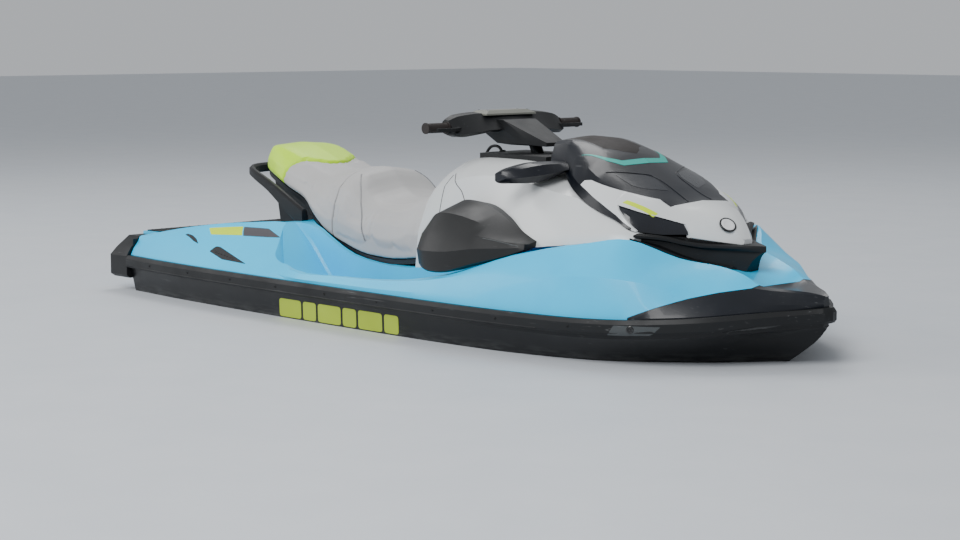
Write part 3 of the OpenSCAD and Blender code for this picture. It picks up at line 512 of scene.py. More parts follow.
def soft_edge_tree() -> bpy.types.NodeTree:
    """Returns a tree that welds a solid's triangles and shades it smooth by angle."""
    bench = GeometryBench("Moulded edges")
    bench.ask("Crease", "NodeSocketFloat")
    weld = bench.add("GeometryNodeMergeByDistance", {"Distance": 0.00002})
    plain = bench.add("GeometryNodeRemoveAttribute", {"Name": "custom_normal"})
    angle = bench.add("GeometryNodeInputMeshEdgeAngle")
    test = bench.add("FunctionNodeCompare", data_type="FLOAT", operation="LESS_EQUAL")
    faces = bench.add("GeometryNodeSetShadeSmooth", domain="FACE")
    edges = bench.add("GeometryNodeSetShadeSmooth", domain="EDGE")
    bench.join(bench.entry.outputs["Geometry"], weld.inputs["Geometry"])
    bench.join(weld.outputs["Geometry"], plain.inputs["Geometry"])
    bench.join(plain.outputs["Geometry"], faces.inputs["Geometry"])
    bench.join(faces.outputs["Geometry"], edges.inputs["Geometry"])
    bench.join(angle.outputs["Unsigned Angle"], test.inputs["A"])
    bench.join(bench.entry.outputs["Crease"], test.inputs["B"])
    bench.join(test.outputs["Result"], edges.inputs["Shade Smooth"])
    bench.join(edges.outputs["Geometry"], bench.exit.inputs["Geometry"])
    bench.tree["crease"] = bench.inputs["Crease"]
    return bench.tree


def scatter_bench() -> GeometryBench:
    """Returns a tree that sets a stamp on each point, by its own two axes."""
    bench = GeometryBench("Set on points")
    bench.ask("Stamp", "NodeSocketObject")
    bench.ask("Size", "NodeSocketFloat")
    bench.ask("Finish", "NodeSocketMaterial")
    stamp = bench.add("GeometryNodeObjectInfo", transform_space="ORIGINAL")
    aim = bench.add("GeometryNodeInputNamedAttribute", {"Name": "aim"}, data_type="FLOAT_VECTOR")
    lead = bench.add("GeometryNodeInputNamedAttribute", {"Name": "lead"}, data_type="FLOAT_VECTOR")
    turn = bench.add("FunctionNodeAxesToRotation", primary_axis="Z", secondary_axis="X")
    place = bench.add("GeometryNodeInstanceOnPoints")
    bench.join(bench.entry.outputs["Stamp"], stamp.inputs["Object"])
    bench.join(aim.outputs["Attribute"], turn.inputs["Primary Axis"])
    bench.join(lead.outputs["Attribute"], turn.inputs["Secondary Axis"])
    bench.join(bench.entry.outputs["Geometry"], place.inputs["Points"])
    bench.join(stamp.outputs["Geometry"], place.inputs["Instance"])
    bench.join(turn.outputs["Rotation"], place.inputs["Rotation"])
    bench.join(bench.entry.outputs["Size"], place.inputs["Scale"])
    bench.finish(place.outputs["Instances"])
    return bench


def sweep_bench() -> GeometryBench:
    """Returns a tree that runs a round section along edges."""
    bench = GeometryBench("Round along a path")
    bench.ask("Radius", "NodeSocketFloat")
    bench.ask("Sides", "NodeSocketInt")
    bench.ask("Finish", "NodeSocketMaterial")
    curve = bench.add("GeometryNodeMeshToCurve")
    ring = bench.add("GeometryNodeCurvePrimitiveCircle", mode="RADIUS")
    tube = bench.add("GeometryNodeCurveToMesh", {"Fill Caps": True})
    bench.join(bench.entry.outputs["Geometry"], curve.inputs["Mesh"])
    bench.join(bench.entry.outputs["Radius"], ring.inputs["Radius"])
    bench.join(bench.entry.outputs["Sides"], ring.inputs["Resolution"])
    bench.join(curve.outputs["Curve"], tube.inputs["Curve"])
    bench.join(ring.outputs["Curve"], tube.inputs["Profile Curve"])
    bench.finish(tube.outputs["Mesh"])
    return bench


# ---------------------------------------------------------------- the yard


@dataclass(frozen=True)
class Mount:
    """A place on a surface with its outward and lengthwise directions."""

    at: Vector
    aim: Vector
    lead: Vector = Vector((1, 0, 0))


@dataclass
class Yard:
    """Holds the loaded frame, the trees and the skins that detail lies on."""

    frame: dict
    skins: dict[tuple[str, ...], BVHTree] = field(default_factory=dict)

    def __post_init__(self) -> None:
        """Builds the shared node trees."""
        self.soft_edges = soft_edge_tree()
        self.scatter = scatter_bench()
        self.sweep = sweep_bench()

    def node(self, name: str) -> bpy.types.Object:
        """Returns a solid part by name."""
        return self.frame["nodes"][name]

    def skin(self, *names: str) -> BVHTree:
        """Returns the joint surface of some solid parts, for laying detail on."""
        if names not in self.skins:
            points: list[Vector] = []
            faces: list[tuple[int, ...]] = []
            for name in names:
                mesh, base = self.node(name).data, len(points)
                points += [v.co.copy() for v in mesh.vertices]
                faces += [tuple(base + i for i in p.vertices) for p in mesh.polygons]
            self.skins[names] = BVHTree.FromPolygons(points, faces)
        return self.skins[names]

    def dress(self, finish: Finish, *names: str, crease: float = 32.0) -> None:
        """Gives solid parts their finish and moulded edges.

        Args:
            finish: the finish.
            names: the solid parts.
            crease: the angle in degrees past which an edge stays sharp.
        """
        for name in names:
            part = self.node(name)
            part.data.materials.clear()
            part.data.materials.append(finish.build())
            part.data.polygons.foreach_set("material_index", [0] * len(part.data.polygons))
            modifier = part.modifiers.new("Moulded edges", "NODES")
            modifier.node_group = self.soft_edges
            modifier[self.soft_edges["crease"]] = math.radians(crease)
            log.info("dressed %s in %s", name, finish.name)

    def add(self, piece: bpy.types.Object, body: str, slot: str) -> bpy.types.Object:
        """Makes a piece ride on a body and logs it."""
        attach(piece, body)
        log.info("added %s on %s, %d faces", piece.name, body, len(piece.data.polygons))
        return piece

    def tube(
        self, name: str, paths: Iterable[Sequence[Vector]], radius: float, finish: Finish,
        sides: int, body: str, slot: str,
    ) -> bpy.types.Object:
        """Makes round cords along paths.

        Args:
            name: the piece's name.
            paths: the points of each run.
            radius: half the thickness.
            finish: its finish.
            sides: faces round it.
            body: the body that it rides on.
            slot: not used.

        Returns:
            The piece.
        """
        points: list[Vector] = []
        edges: list[tuple[int, int]] = []
        for path in paths:
            base = len(points)
            points += list(path)
            edges += [(i, i + 1) for i in range(base, len(points) - 1)]
        piece = new_piece(name, points, edges)
        self.sweep.make(piece, {"Radius": radius, "Sides": sides}, finish.build())
        return self.add(piece, body, slot)

    def stamped(
        self, name: str, stamp: bpy.types.Object, mounts: Sequence[Mount], finish: Finish,
        body: str, slot: str,
    ) -> bpy.types.Object:
        """Sets a stamp on each mount as one piece.

        Args:
            name: the piece's name.
            stamp: the shape to repeat; it is removed afterwards.
            mounts: where each copy goes.
            finish: its finish.
            body: the body that it rides on.
            slot: not used.

        Returns:
            The piece.
        """
        piece = new_piece(name, [m.at for m in mounts])
        for key, values in (("aim", [m.aim for m in mounts]), ("lead", [m.lead for m in mounts])):
            layer = piece.data.attributes.new(key, "FLOAT_VECTOR", "POINT")
            layer.data.foreach_set("vector", [c for v in values for c in v])
        self.scatter.make(piece, {"Stamp": stamp, "Size": STAMP_SIZE}, finish.build())
        bpy.data.objects.remove(stamp)
        return self.add(piece, body, slot)


def mount_on(
    skin: BVHTree, near: Point | Vector, inward: Point | Vector, lead: Point = (1, 0, 0),
    lift: float = 0.0,
) -> Mount:
    """Finds the mount on a skin behind a point.

    Args:
        skin: the surface.
        near: a point near the surface.
        inward: the direction into the surface.
        lead: the lengthwise direction of what sits there.
        lift: distance above the surface.

    Returns:
        The mount, turned to the surface.
    """
    way = Vector(inward).normalized()
    hit, normal, _, _ = skin.ray_cast(Vector(near) - way * RAY_BACK, way, RAY_REACH)
    if hit is None:
        hit, normal, _, _ = skin.find_nearest(Vector(near))
    if normal.dot(way) > 0:
        normal = -normal
    return Mount(hit + normal * lift, normal, Vector(lead))


def along(course: Sequence[Point], step: float, curved: bool = True) -> list[Vector]:
    """Spaces points along a course.

    Args:
        course: the corners of the course.
        step: the longest gap between points.
        curved: whether the course bends smoothly through its corners.

    Returns:
        The points.
    """
    ends = [Vector(p) for p in course]
    found = [ends[0]]
    for i in range(len(ends) - 1):
        a, b = ends[i], ends[i + 1]
        before = ends[i - 1] if i else a
        after = ends[i + 2] if i + 2 < len(ends) else b
        count = max(1, math.ceil((b - a).length / step))
        for k in range(1, count + 1):
            t = k / count
            if curved:
                m0, m1 = (b - before) * 0.5, (after - a) * 0.5
                found.append(
                    a * (
                        2 * t**3 - 3 * t**2 + 1
                    ) + m0 * (t**3 - 2 * t**2 + t) + b * (3 * t**2 - 2 * t**3) + m1 * (t**3 - t**2)
                )
            else:
                found.append(a.lerp(b, t))
    return found


def laid(
    skin: BVHTree, course: Sequence[Point], inward: Point, step: float = 0.008, lift: float = 0.0,
    curved: bool = True,
) -> list[Vector]:
    """Lays a course on a skin and returns its points."""
    return [mount_on(skin, p, inward, lift=lift).at for p in along(course, step, curved)]


def port_of(course: Sequence[Point]) -> Outline:
    """Mirrors a course to the port side."""
    return tuple((x, -y, z) for x, y, z in course)


def rounded(outline: Sequence[Vector], radius: float) -> list[Vector]:
    """Rounds the corners of a closed flat outline."""
    out: list[Vector] = []
    for i, corner in enumerate(outline):
        before, after = outline[i - 1] - corner, outline[(i + 1) % len(outline)] - corner
        reach = min(radius, before.length * 0.42, after.length * 0.42)
        a, b = corner + before.normalized() * reach, corner + after.normalized() * reach
        out += [(a.lerp(corner, t)).lerp(corner.lerp(b, t), t) for t in (0, 0.25, 0.5, 0.75, 1)]
    return out


def inside(point: Vector, outline: Sequence[Vector]) -> bool:
    """Says whether a flat point is inside a closed outline."""
    odd = False
    for i, b in enumerate(outline):
        a = outline[i - 1]
        if (
            a.y > point.y
        ) != (b.y > point.y) and point.x < (b.x - a.x) * (point.y - a.y) / (b.y - a.y) + a.x:
            odd = not odd
    return odd


@dataclass(frozen=True)
class Inlay:
    """A thin panel, stripe or vent that follows the skin under it."""

    name: str
    outline: Outline
    inward: Point
    finish: Finish
    slot: str
    body: str = "craft"
    lift: float = 0.0007
    corner: float = 0.004
    step: float = 0.012
    bury: float = 0.0012
    both_sides: bool = True

    def add(self, yard: Yard, *skins: str) -> bpy.types.Object:
        """Cuts the panel to the skins and adds it to the craft.

        Args:
            yard: the yard.
            skins: the solid parts that it lies on.

        Returns:
            The piece.
        """
        work = bmesh.new()
        for mirror in (False, True) if self.both_sides else (False,):
            self.lay(work, yard.skin(*skins), mirror)
        mesh = bpy.data.meshes.new(self.name)
        work.to_mesh(mesh)
        work.free()
        piece = bpy.data.objects.new(self.name, mesh)
        bpy.context.scene.collection.objects.link(piece)
        coat(piece, self.finish.build())
        return yard.add(piece, self.body, self.slot)

    def lay(self, work: bmesh.types.BMesh, skin: BVHTree, mirror: bool) -> None:
        """Adds one side's panel to a mesh.

        Args:
            work: the mesh to add to.
            skin: the surface.
            mirror: whether this is the port copy.
        """
        flip = Vector((1, -1 if mirror else 1, 1))
        way = (Vector(self.inward) * flip).normalized()
        across = Vector((1, 0, 0)) if abs(way.x) < 0.9 else Vector((0, 1, 0))
        u = (across - way * across.dot(way)).normalized()
        v = way.cross(u)
        centre = sum((Vector(p) * flip for p in self.outline), Vector()) / len(self.outline)

        def flat(loop: Outline) -> list[Vector]:
            """Returns a loop in the panel's own plane, rounded and evenly spaced."""
            corners = [
                Vector((d.dot(u), d.dot(v), 0)) for d in (Vector(p) * flip - centre for p in loop)
            ]
            soft = rounded(corners, self.corner)
            spaced: list[Vector] = []
            for i, a in enumerate(soft):
                b = soft[(i + 1) % len(soft)]
                count = max(1, math.ceil((b - a).length / self.step))
                spaced += [a.lerp(b, k / count) for k in range(count)]
            return [p for i, p in enumerate(spaced) if (p - spaced[i - 1]).length > 1e-5]

        rim = flat(self.outline)
        low = Vector((min(p.x for p in rim), min(p.y for p in rim)))
        high = Vector((max(p.x for p in rim), max(p.y for p in rim)))
        fill = []
        for i in range(1, int((high.x - low.x) / self.step) + 1):
            for k in range(1, int((high.y - low.y) / self.step) + 1):
                spot = Vector((low.x + i * self.step, low.y + k * self.step, 0))
                if inside(spot, rim) and min((spot - p).length for p in rim) > self.step * 0.45:
                    fill.append(spot)
        flat_points = [p.to_2d() for p in rim + fill]
        ring = [(i, (i + 1) % len(rim)) for i in range(len(rim))]
        points, _, faces, _, _, _ = delaunay_2d_cdt(flat_points, ring, [], 1, 1e-6)
        tops, feet = [], []
        for p in points:
            mount = mount_on(skin, centre + u * p.x + v * p.y, way)
            tops.append(work.verts.new(mount.at + mount.aim * self.lift))
            feet.append(work.verts.new(mount.at + way * self.bury))
        sides: dict[tuple[int, int], tuple[int, int]] = {}
        made = []
        for face in faces:
            made.append(work.faces.new([tops[i] for i in face]))
            made.append(work.faces.new([feet[i] for i in reversed(face)]))
            for a, b in zip(face, face[1:] + face[:1]):
                if (b, a) in sides:
                    del sides[(b, a)]
                else:
                    sides[(a, b)] = (a, b)
        for a, b in sides:
            made.append(work.faces.new([tops[b], tops[a], feet[a], feet[b]]))
        bmesh.ops.recalc_face_normals(work, faces=made)


def screw_stamp(radius: float, height: float) -> bpy.types.Object:
    """Makes a domed screw head with a six-sided socket.

    Args:
        radius: of the head.
        height: of the head.

    Returns:
        The stamp, with its foot at the origin.
    """
    rings = [
        (radius, -0.001), (radius, height * 0.45), (radius * 0.82, height * 0.9),
        (radius * 0.45, height), (radius * 0.42, height * 0.35),
    ]
    return lathe("screw_stamp", 12, rings)


def lathe(name: str, sides: int, rings: Sequence[tuple[float, float]]) -> bpy.types.Object:
    """Turns a closed shape about Z from its rings.

    Args:
        name: the object's name.
        sides: how many faces go round it.
        rings: radius and height of each ring, bottom first.

    Returns:
        The object.
    """
    points, faces = [], []
    turns = [math.tau * k / sides for k in range(sides)]
    for radius, height in rings:
        points += [(radius * math.cos(t), radius * math.sin(t), height) for t in turns]
    for r in range(len(rings) - 1):
        for k in range(sides):
            a, b = r * sides + k, r * sides + (k + 1) % sides
            faces.append((a, b, b + sides, a + sides))
    faces.append(tuple(reversed(range(sides))))
    faces.append(tuple(range((len(rings) - 1) * sides, len(rings) * sides)))
    return new_piece(name, points, faces=faces)


def bar_stamp(length: float, width: float, height: float) -> bpy.types.Object:
    """Makes a raised rib with sloping sides.

    Args:
        length: along X.
        width: along Y.
        height: above its foot.

    Returns:
        The stamp.
    """
    points = []
    for z, inset in ((-0.0015, 0.0), (height * 0.5, 0.0), (height, width * 0.25)):
        x, y = length / 2 - inset, width / 2 - inset
        points += [
            (-x, -y * 0.5, z), (-x * 0.9, -y, z), (x * 0.9, -y, z), (x, -y * 0.5, z),
            (x, y * 0.5, z), (x * 0.9, y, z), (-x * 0.9, y, z), (-x, y * 0.5, z),
        ]
    faces = [tuple(reversed(range(8))), tuple(range(16, 24))]
    for r in range(2):
        for k in range(8):
            a, b = r * 8 + k, r * 8 + (k + 1) % 8
            faces.append((a, b, b + 8, a + 8))
    return new_piece("bar_stamp", points, faces=faces)


# ---------------------------------------------------------------- sub-assemblies


@dataclass
class Hull:
    """The V hull with its decals, sponsons and fittings."""

    yard: Yard
    bar_low: float = 0.004
    bar_high: float = 0.078
    bar_gap: float = 0.012
    bar_widths: tuple[float, ...] = (0.13, 0.075, 0.13, 0.075, 0.13, 0.075)
    screw_radius: float = 0.007

    def build(self) -> None:
        """Dresses the hull and adds its graphics and screws."""
        yard = self.yard
        yard.dress(HULL_BLACK, "hull", crease=24)
        yard.dress(TRIM_BLACK, "sponsons")
        yard.dress(RIDE, "ride_plate")
        yard.dress(STEEL, "intake_grate", "bow_eye", "tow_eye")
        yard.dress(ENGINE, "engine_block")
        self.side_bars()
        self.screws()

    def side_bars(self) -> None:
        """Lays the row of slanted lime bars on both sides."""
        x = -0.47
        for number, width in enumerate(self.bar_widths):
            lean = 0.03
            outline = (
                (x, -0.585, self.bar_low), (x + width, -0.585, self.bar_low),
                (x + width + lean, -0.6, self.bar_high), (x + lean, -0.6, self.bar_high),
            )
            Inlay(
                f"hull_bar_{number}", outline, (0, 1, 0.1), LIME_HULL, "hull_black", corner=0.014
            ).add(self.yard, "hull")
            x += width + self.bar_gap

    def screws(self) -> None:
        """Sets the screws of the sponsons, ride plate and engine."""
        yard = self.yard
        low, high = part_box("sponsons")
        skin = yard.skin("sponsons")
        mounts = []
        for side in STARBOARD_AND_PORT:
            for t in (0.14, 0.5, 0.86):
                x = low.x + (high.x - low.x) * t
                mounts.append(
                    mount_on(skin, (x, side * high.y, (low.z + high.z) / 2), (0, -side, 0))
                )
        yard.stamped(
            "sponson_screws", screw_stamp(self.screw_radius, 0.004), mounts, STEEL, "craft", "steel"
        )
        low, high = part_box("ride_plate")
        skin = yard.skin("ride_plate")
        mounts = [
            mount_on(skin, (low.x + (high.x - low.x) * t, side * high.y * 0.82, low.z), (0, 0, 1))
            for side in STARBOARD_AND_PORT
            for t in (0.12, 0.5, 0.88)
        ]
        yard.stamped(
            "ride_plate_screws", screw_stamp(self.screw_radius, 0.003), mounts, STEEL, "craft",
            "steel",
        )
        low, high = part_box("engine_block")
        skin = yard.skin("engine_block")
        mounts = [
            mount_on(skin, (low.x + (high.x - low.x) * t, y * high.y * 0.8, high.z), (0, 0, -1))
            for y in STARBOARD_AND_PORT
            for t in (0.1, 0.37, 0.63, 0.9)
        ]
        yard.stamped("engine_bolts", screw_stamp(0.009, 0.008), mounts, STEEL, "craft", "steel")


@dataclass
class Deck:
    """The deck moulding with its rail, mats, vents and stripes."""

    yard: Yard
    rib_length: float = 0.034
    rib_width: float = 0.007
    rib_pitch: float = 0.024
    bead_stations: tuple[float, ...] = (-1.4, -0.9, -0.4, 0.1, 0.6, 0.9)
    rivets: int = 9
    rivet_pitch: float = 0.29
    vent_slats: int = 7

    STERN_WAY: Point = (0, 0.65, -0.76)

    def build(self) -> None:
        """Dresses the deck and lays its detail."""
        yard = self.yard
        yard.dress(DECK_BLUE, "deck", crease=22)
        yard.dress(COVER_BLACK, "bow_cover", crease=18)
        yard.dress(BUMPER, "bumper_rail", "stern_bumper_port", "stern_bumper_starboard", crease=30)
        yard.dress(MAT, "footwell_mats", "platform_mat")
        self.stripes()
        self.vents()
        self.rail_detail()
        self.ribs()

    def stripes(self) -> None:
        """Lays the two-tone stripe on each quarter."""
        lime = (
            (-1.093, -0.444, 0.285), (-0.906, -0.405, 0.292), (-0.86, -0.452, 0.27),
            (-1.04, -0.474, 0.264),
        )
        grey = (
            (-0.898, -0.405, 0.29), (-0.755, -0.385, 0.283), (-0.64, -0.42, 0.262),
            (-0.852, -0.452, 0.268),
        )
        Inlay("quarter_stripe_lime", lime, self.STERN_WAY, LIME, "deck_blue").add(self.yard, "deck")
        Inlay(
            "quarter_stripe_grey", grey, self.STERN_WAY, DECAL_GREY, "deck_blue"
        ).add(self.yard, "deck")

    def vents(self) -> None:
        """Lays the crescent and wedge air vents with their slats."""
        crescent = (
            (-1.196, -0.491, 0.254), (-1.182, -0.486, 0.258), (-1.143, -0.49, 0.254),
            (-1.105, -0.5, 0.244), (-1.067, -0.518, 0.228), (-1.11, -0.512, 0.236),
            (-1.159, -0.498, 0.248),
        )
        wedge = (
            (-0.967, -0.537, 0.207), (-0.953, -0.515, 0.226), (-0.926, -0.513, 0.226),
            (-0.693, -0.564, 0.182), (-0.853, -0.56, 0.186),
        )
        Inlay(
            "vent_crescent", crescent, self.STERN_WAY, RING_DARK, "cover_black", corner=0.006,
            step=0.008,
        ).add(self.yard, "deck")
        Inlay(
            "vent_wedge", wedge, self.STERN_WAY, RING_DARK, "cover_black", corner=0.008
        ).add(self.yard, "deck")
        skin = self.yard.skin("deck")
        mounts = []
        for side in STARBOARD_AND_PORT:
            for k in range(self.vent_slats):
                x = -0.93 + k * 0.022
                mounts.append(
                    mount_on(
                        skin, (x, side * (0.532 + k * 0.003), 0.206 - k * 0.002),
                        (0, -side * 0.65, -0.76), (0.3, side * 0.7, 0.6), 0.0009,
                    )
                )
        self.yard.stamped(
            "vent_slats", bar_stamp(0.02, 0.004, 0.0016), mounts, TRIM_BLACK, "craft", "cover_black"
        )

    def rail_detail(self) -> None:
        """Adds the grey rail insets, their plugs, a dark patch that paints the shade in the bow
        scoops, and the rail bead.
        """
        yard, way = self.yard, (-0.48, 0.87, 0)
        inset = (
            (1.152, -0.515, 0.104), (1.172, -0.505, 0.137), (1.304, -0.428, 0.137),
            (1.272, -0.445, 0.104),
        )
        Inlay("rail_inset", inset, way, INSET_GREY, "bumper").add(yard, "bumper_rail")
        # Painted shade: the hollows near the bow are not modelled; one flat dark gloss patch stands
        # for the shade in them.
        scoop = (
            (1.385, -0.36, 0.104), (1.45, -0.3, 0.12), (1.535, -0.19, 0.128),
            (1.575, -0.13, 0.122), (1.53, -0.2, 0.108), (1.46, -0.29, 0.101),
        )
        Inlay(
            "bow_scoop", scoop, (-0.7, 0.7, 0), RING_DARK, "bumper", corner=0.01
        ).add(yard, "bumper_rail")
        skin = yard.skin("bumper_rail")
        mounts = [
            mount_on(skin, (1.221, side * 0.481, 0.125), (-0.48, -side * 0.87, 0))
            for side in STARBOARD_AND_PORT
        ]
        rings = [
            (0.0125, -0.001), (0.0125, 0.0025), (0.0108, 0.0036), (0.0078, 0.0036),
            (0.0066, 0.0012), (0.0045, 0.0012), (0.003, 0.0026),
        ]
        yard.stamped(
            "rail_plugs", lathe("plug_stamp", 16, rings), mounts, RING_DARK, "craft", "bumper"
        )
        runs = []
        for side in STARBOARD_AND_PORT:
            course = [(x, side * 0.62, 0.108) for x in self.bead_stations]
            runs.append(laid(skin, course, (0, -side, 0), step=0.03, lift=0.0003, curved=False))
        yard.tube("rail_bead", runs, 0.0022, TRIM_BLACK, 6, "craft", "bumper")
        mounts = []
        for side in STARBOARD_AND_PORT:
            for k in range(self.rivets):
                mounts.append(
                    mount_on(skin, (-1.3 + k * self.rivet_pitch, side * 0.62, 0.124), (0, -side, 0))
                )
        yard.stamped(
            "rail_rivets", screw_stamp(0.0048, 0.0022), mounts, TRIM_BLACK, "craft", "bumper"
        )

    def ribs(self) -> None:
        """Sets the ribs of the footwell and platform mats."""
        mounts = []
        for name in ("footwell_mats", "platform_mat"):
            low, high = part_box(name)
            skin = self.yard.skin(name)
            rows = int((high.y - low.y) / self.rib_pitch)
            count = int((high.x - low.x) / (self.rib_length * 1.35))
            for r in range(rows + 1):
                for k in range(count + 1):
                    x = low.x + (k + 0.5 * (r % 2)) * self.rib_length * 1.35
                    y = low.y + r * self.rib_pitch
                    if self.backed(skin, x, y, high.z):
                        turn = 0.6 if (r + k) % 2 else -0.6
                        mounts.append(
                            mount_on(
                                skin, (x, y, high.z), (0, 0, -1),
                                (math.cos(turn), math.sin(turn), 0),
                            )
                        )
        self.yard.stamped(
            "mat_ribs", bar_stamp(self.rib_length, self.rib_width, 0.0018), mounts, MAT, "craft",
            "mat",
        )

    def backed(self, skin: BVHTree, x: float, y: float, top: float) -> bool:
        """Says whether a rib at a spot lies wholly on its mat."""
        reach = self.rib_length * 0.55
        heights = []
        for dx, dy in (
            (0, 0), (reach, reach * 0.6), (-reach, reach * 0.6), (reach, -reach * 0.6),
            (-reach, -reach * 0.6),
        ):
            hit, normal, _, _ = skin.ray_cast(
                Vector((x + dx, y + dy, top + 0.05)), Vector((0, 0, -1)), 0.3
            )
            if hit is None or normal.z < 0.8:
                return False
            heights.append(hit.z)
        return max(heights) - min(heights) < 0.02


@dataclass
class Console:
    """The centre console, glovebox lid, steering base and knee fairings."""

    yard: Yard
    seam_radius: float = 0.0016
    loop_radius: float = 0.0055

    def build(self) -> None:
        """Dresses the console and adds its panel lines and latch."""
        yard = self.yard
        yard.dress(PANEL_GREY, "console", "glovebox_lid", crease=26)
        yard.dress(TRIM_BLACK, "steering_base")
        yard.dress(FAIRING, "knee_fairing_port", "knee_fairing_starboard", crease=20)
        yard.dress(TRIM_BLACK, "nose_grille", crease=24)
        self.panel_lines()
        self.fairing_highlights()
        self.latch()

    def panel_lines(self) -> None:
        """Runs the panel gaps down each side of the console."""
        skin = self.yard.skin("console")
        course = (
            (0.1, -0.2, 0.556), (0.135, -0.228, 0.535), (0.162, -0.245, 0.518),
            (0.211, -0.266, 0.496), (0.26, -0.287, 0.45), (0.3, -0.31, 0.39),
        )
        rear = ((0.085, -0.2, 0.55), (0.07, -0.225, 0.5), (0.075, -0.25, 0.44), (0.09, -0.27, 0.38))
        runs = []
        for line in (course, rear):
            runs += [
                laid(skin, line, (0.1, 0.95, -0.3)), laid(skin, port_of(line), (0.1, -0.95, -0.3))
            ]
        self.yard.tube(
            "console_panel_gaps", runs, self.seam_radius, SEAM_DARK, 6, "craft", "panel_grey"
        )

    def fairing_highlights(self) -> None:
        """Adds a grey cord that paints the bright highlight along the edge of each knee fairing."""
        for side, name in ((-1, "knee_fairing_starboard"), (1, "knee_fairing_port")):
            skin = self.yard.skin(name)
            # Painted highlight: a light grey cord where the fairing's edge catches the light.
            line = [
                (0.58, side * 0.518, 0.374), (0.62, side * 0.505, 0.369),
                (0.66, side * 0.492, 0.362), (0.71, side * 0.478, 0.354),
            ]
            run = laid(skin, line, (-0.3, -side * 0.8, -0.5), lift=0.0002)
            self.yard.tube(f"{name}_edge", [run], 0.0016, INSET_GREY, 6, "craft", "trim_black")

    def latch(self) -> None:
        """Adds the loop that the lanyard clips to, ahead of the glovebox lid."""
        skin = self.yard.skin("console", "steering_base")
        foot_a = mount_on(skin, (0.108, -0.05, 0.62), (0, 0, -1)).at
        foot_b = mount_on(skin, (0.2, -0.05, 0.64), (0, 0, -1)).at
        loop = [
            foot_a - Vector((0.004, 0, 0.004)), (0.122, -0.05, 0.634), (0.14, -0.05, 0.649),
            (0.162, -0.05, 0.653), (0.183, -0.05, 0.648), foot_b - Vector((0, 0, 0.004)),
        ]
        yard = self.yard
        yard.tube(
            "lanyard_loop", [along([tuple(p) for p in loop], 0.004)], self.loop_radius, TRIM_BLACK,
            12, "craft", "trim_black",
        )
        mounts = [Mount(foot_a, Vector((0, 0, 1))), Mount(foot_b, Vector((0, 0, 1)))]
        rings = [(0.012, -0.002), (0.012, 0.003), (0.01, 0.005), (0.006, 0.006)]
        yard.stamped(
            "lanyard_feet", lathe("foot_stamp", 16, rings), mounts, TRIM_BLACK, "craft",
            "trim_black",
        )


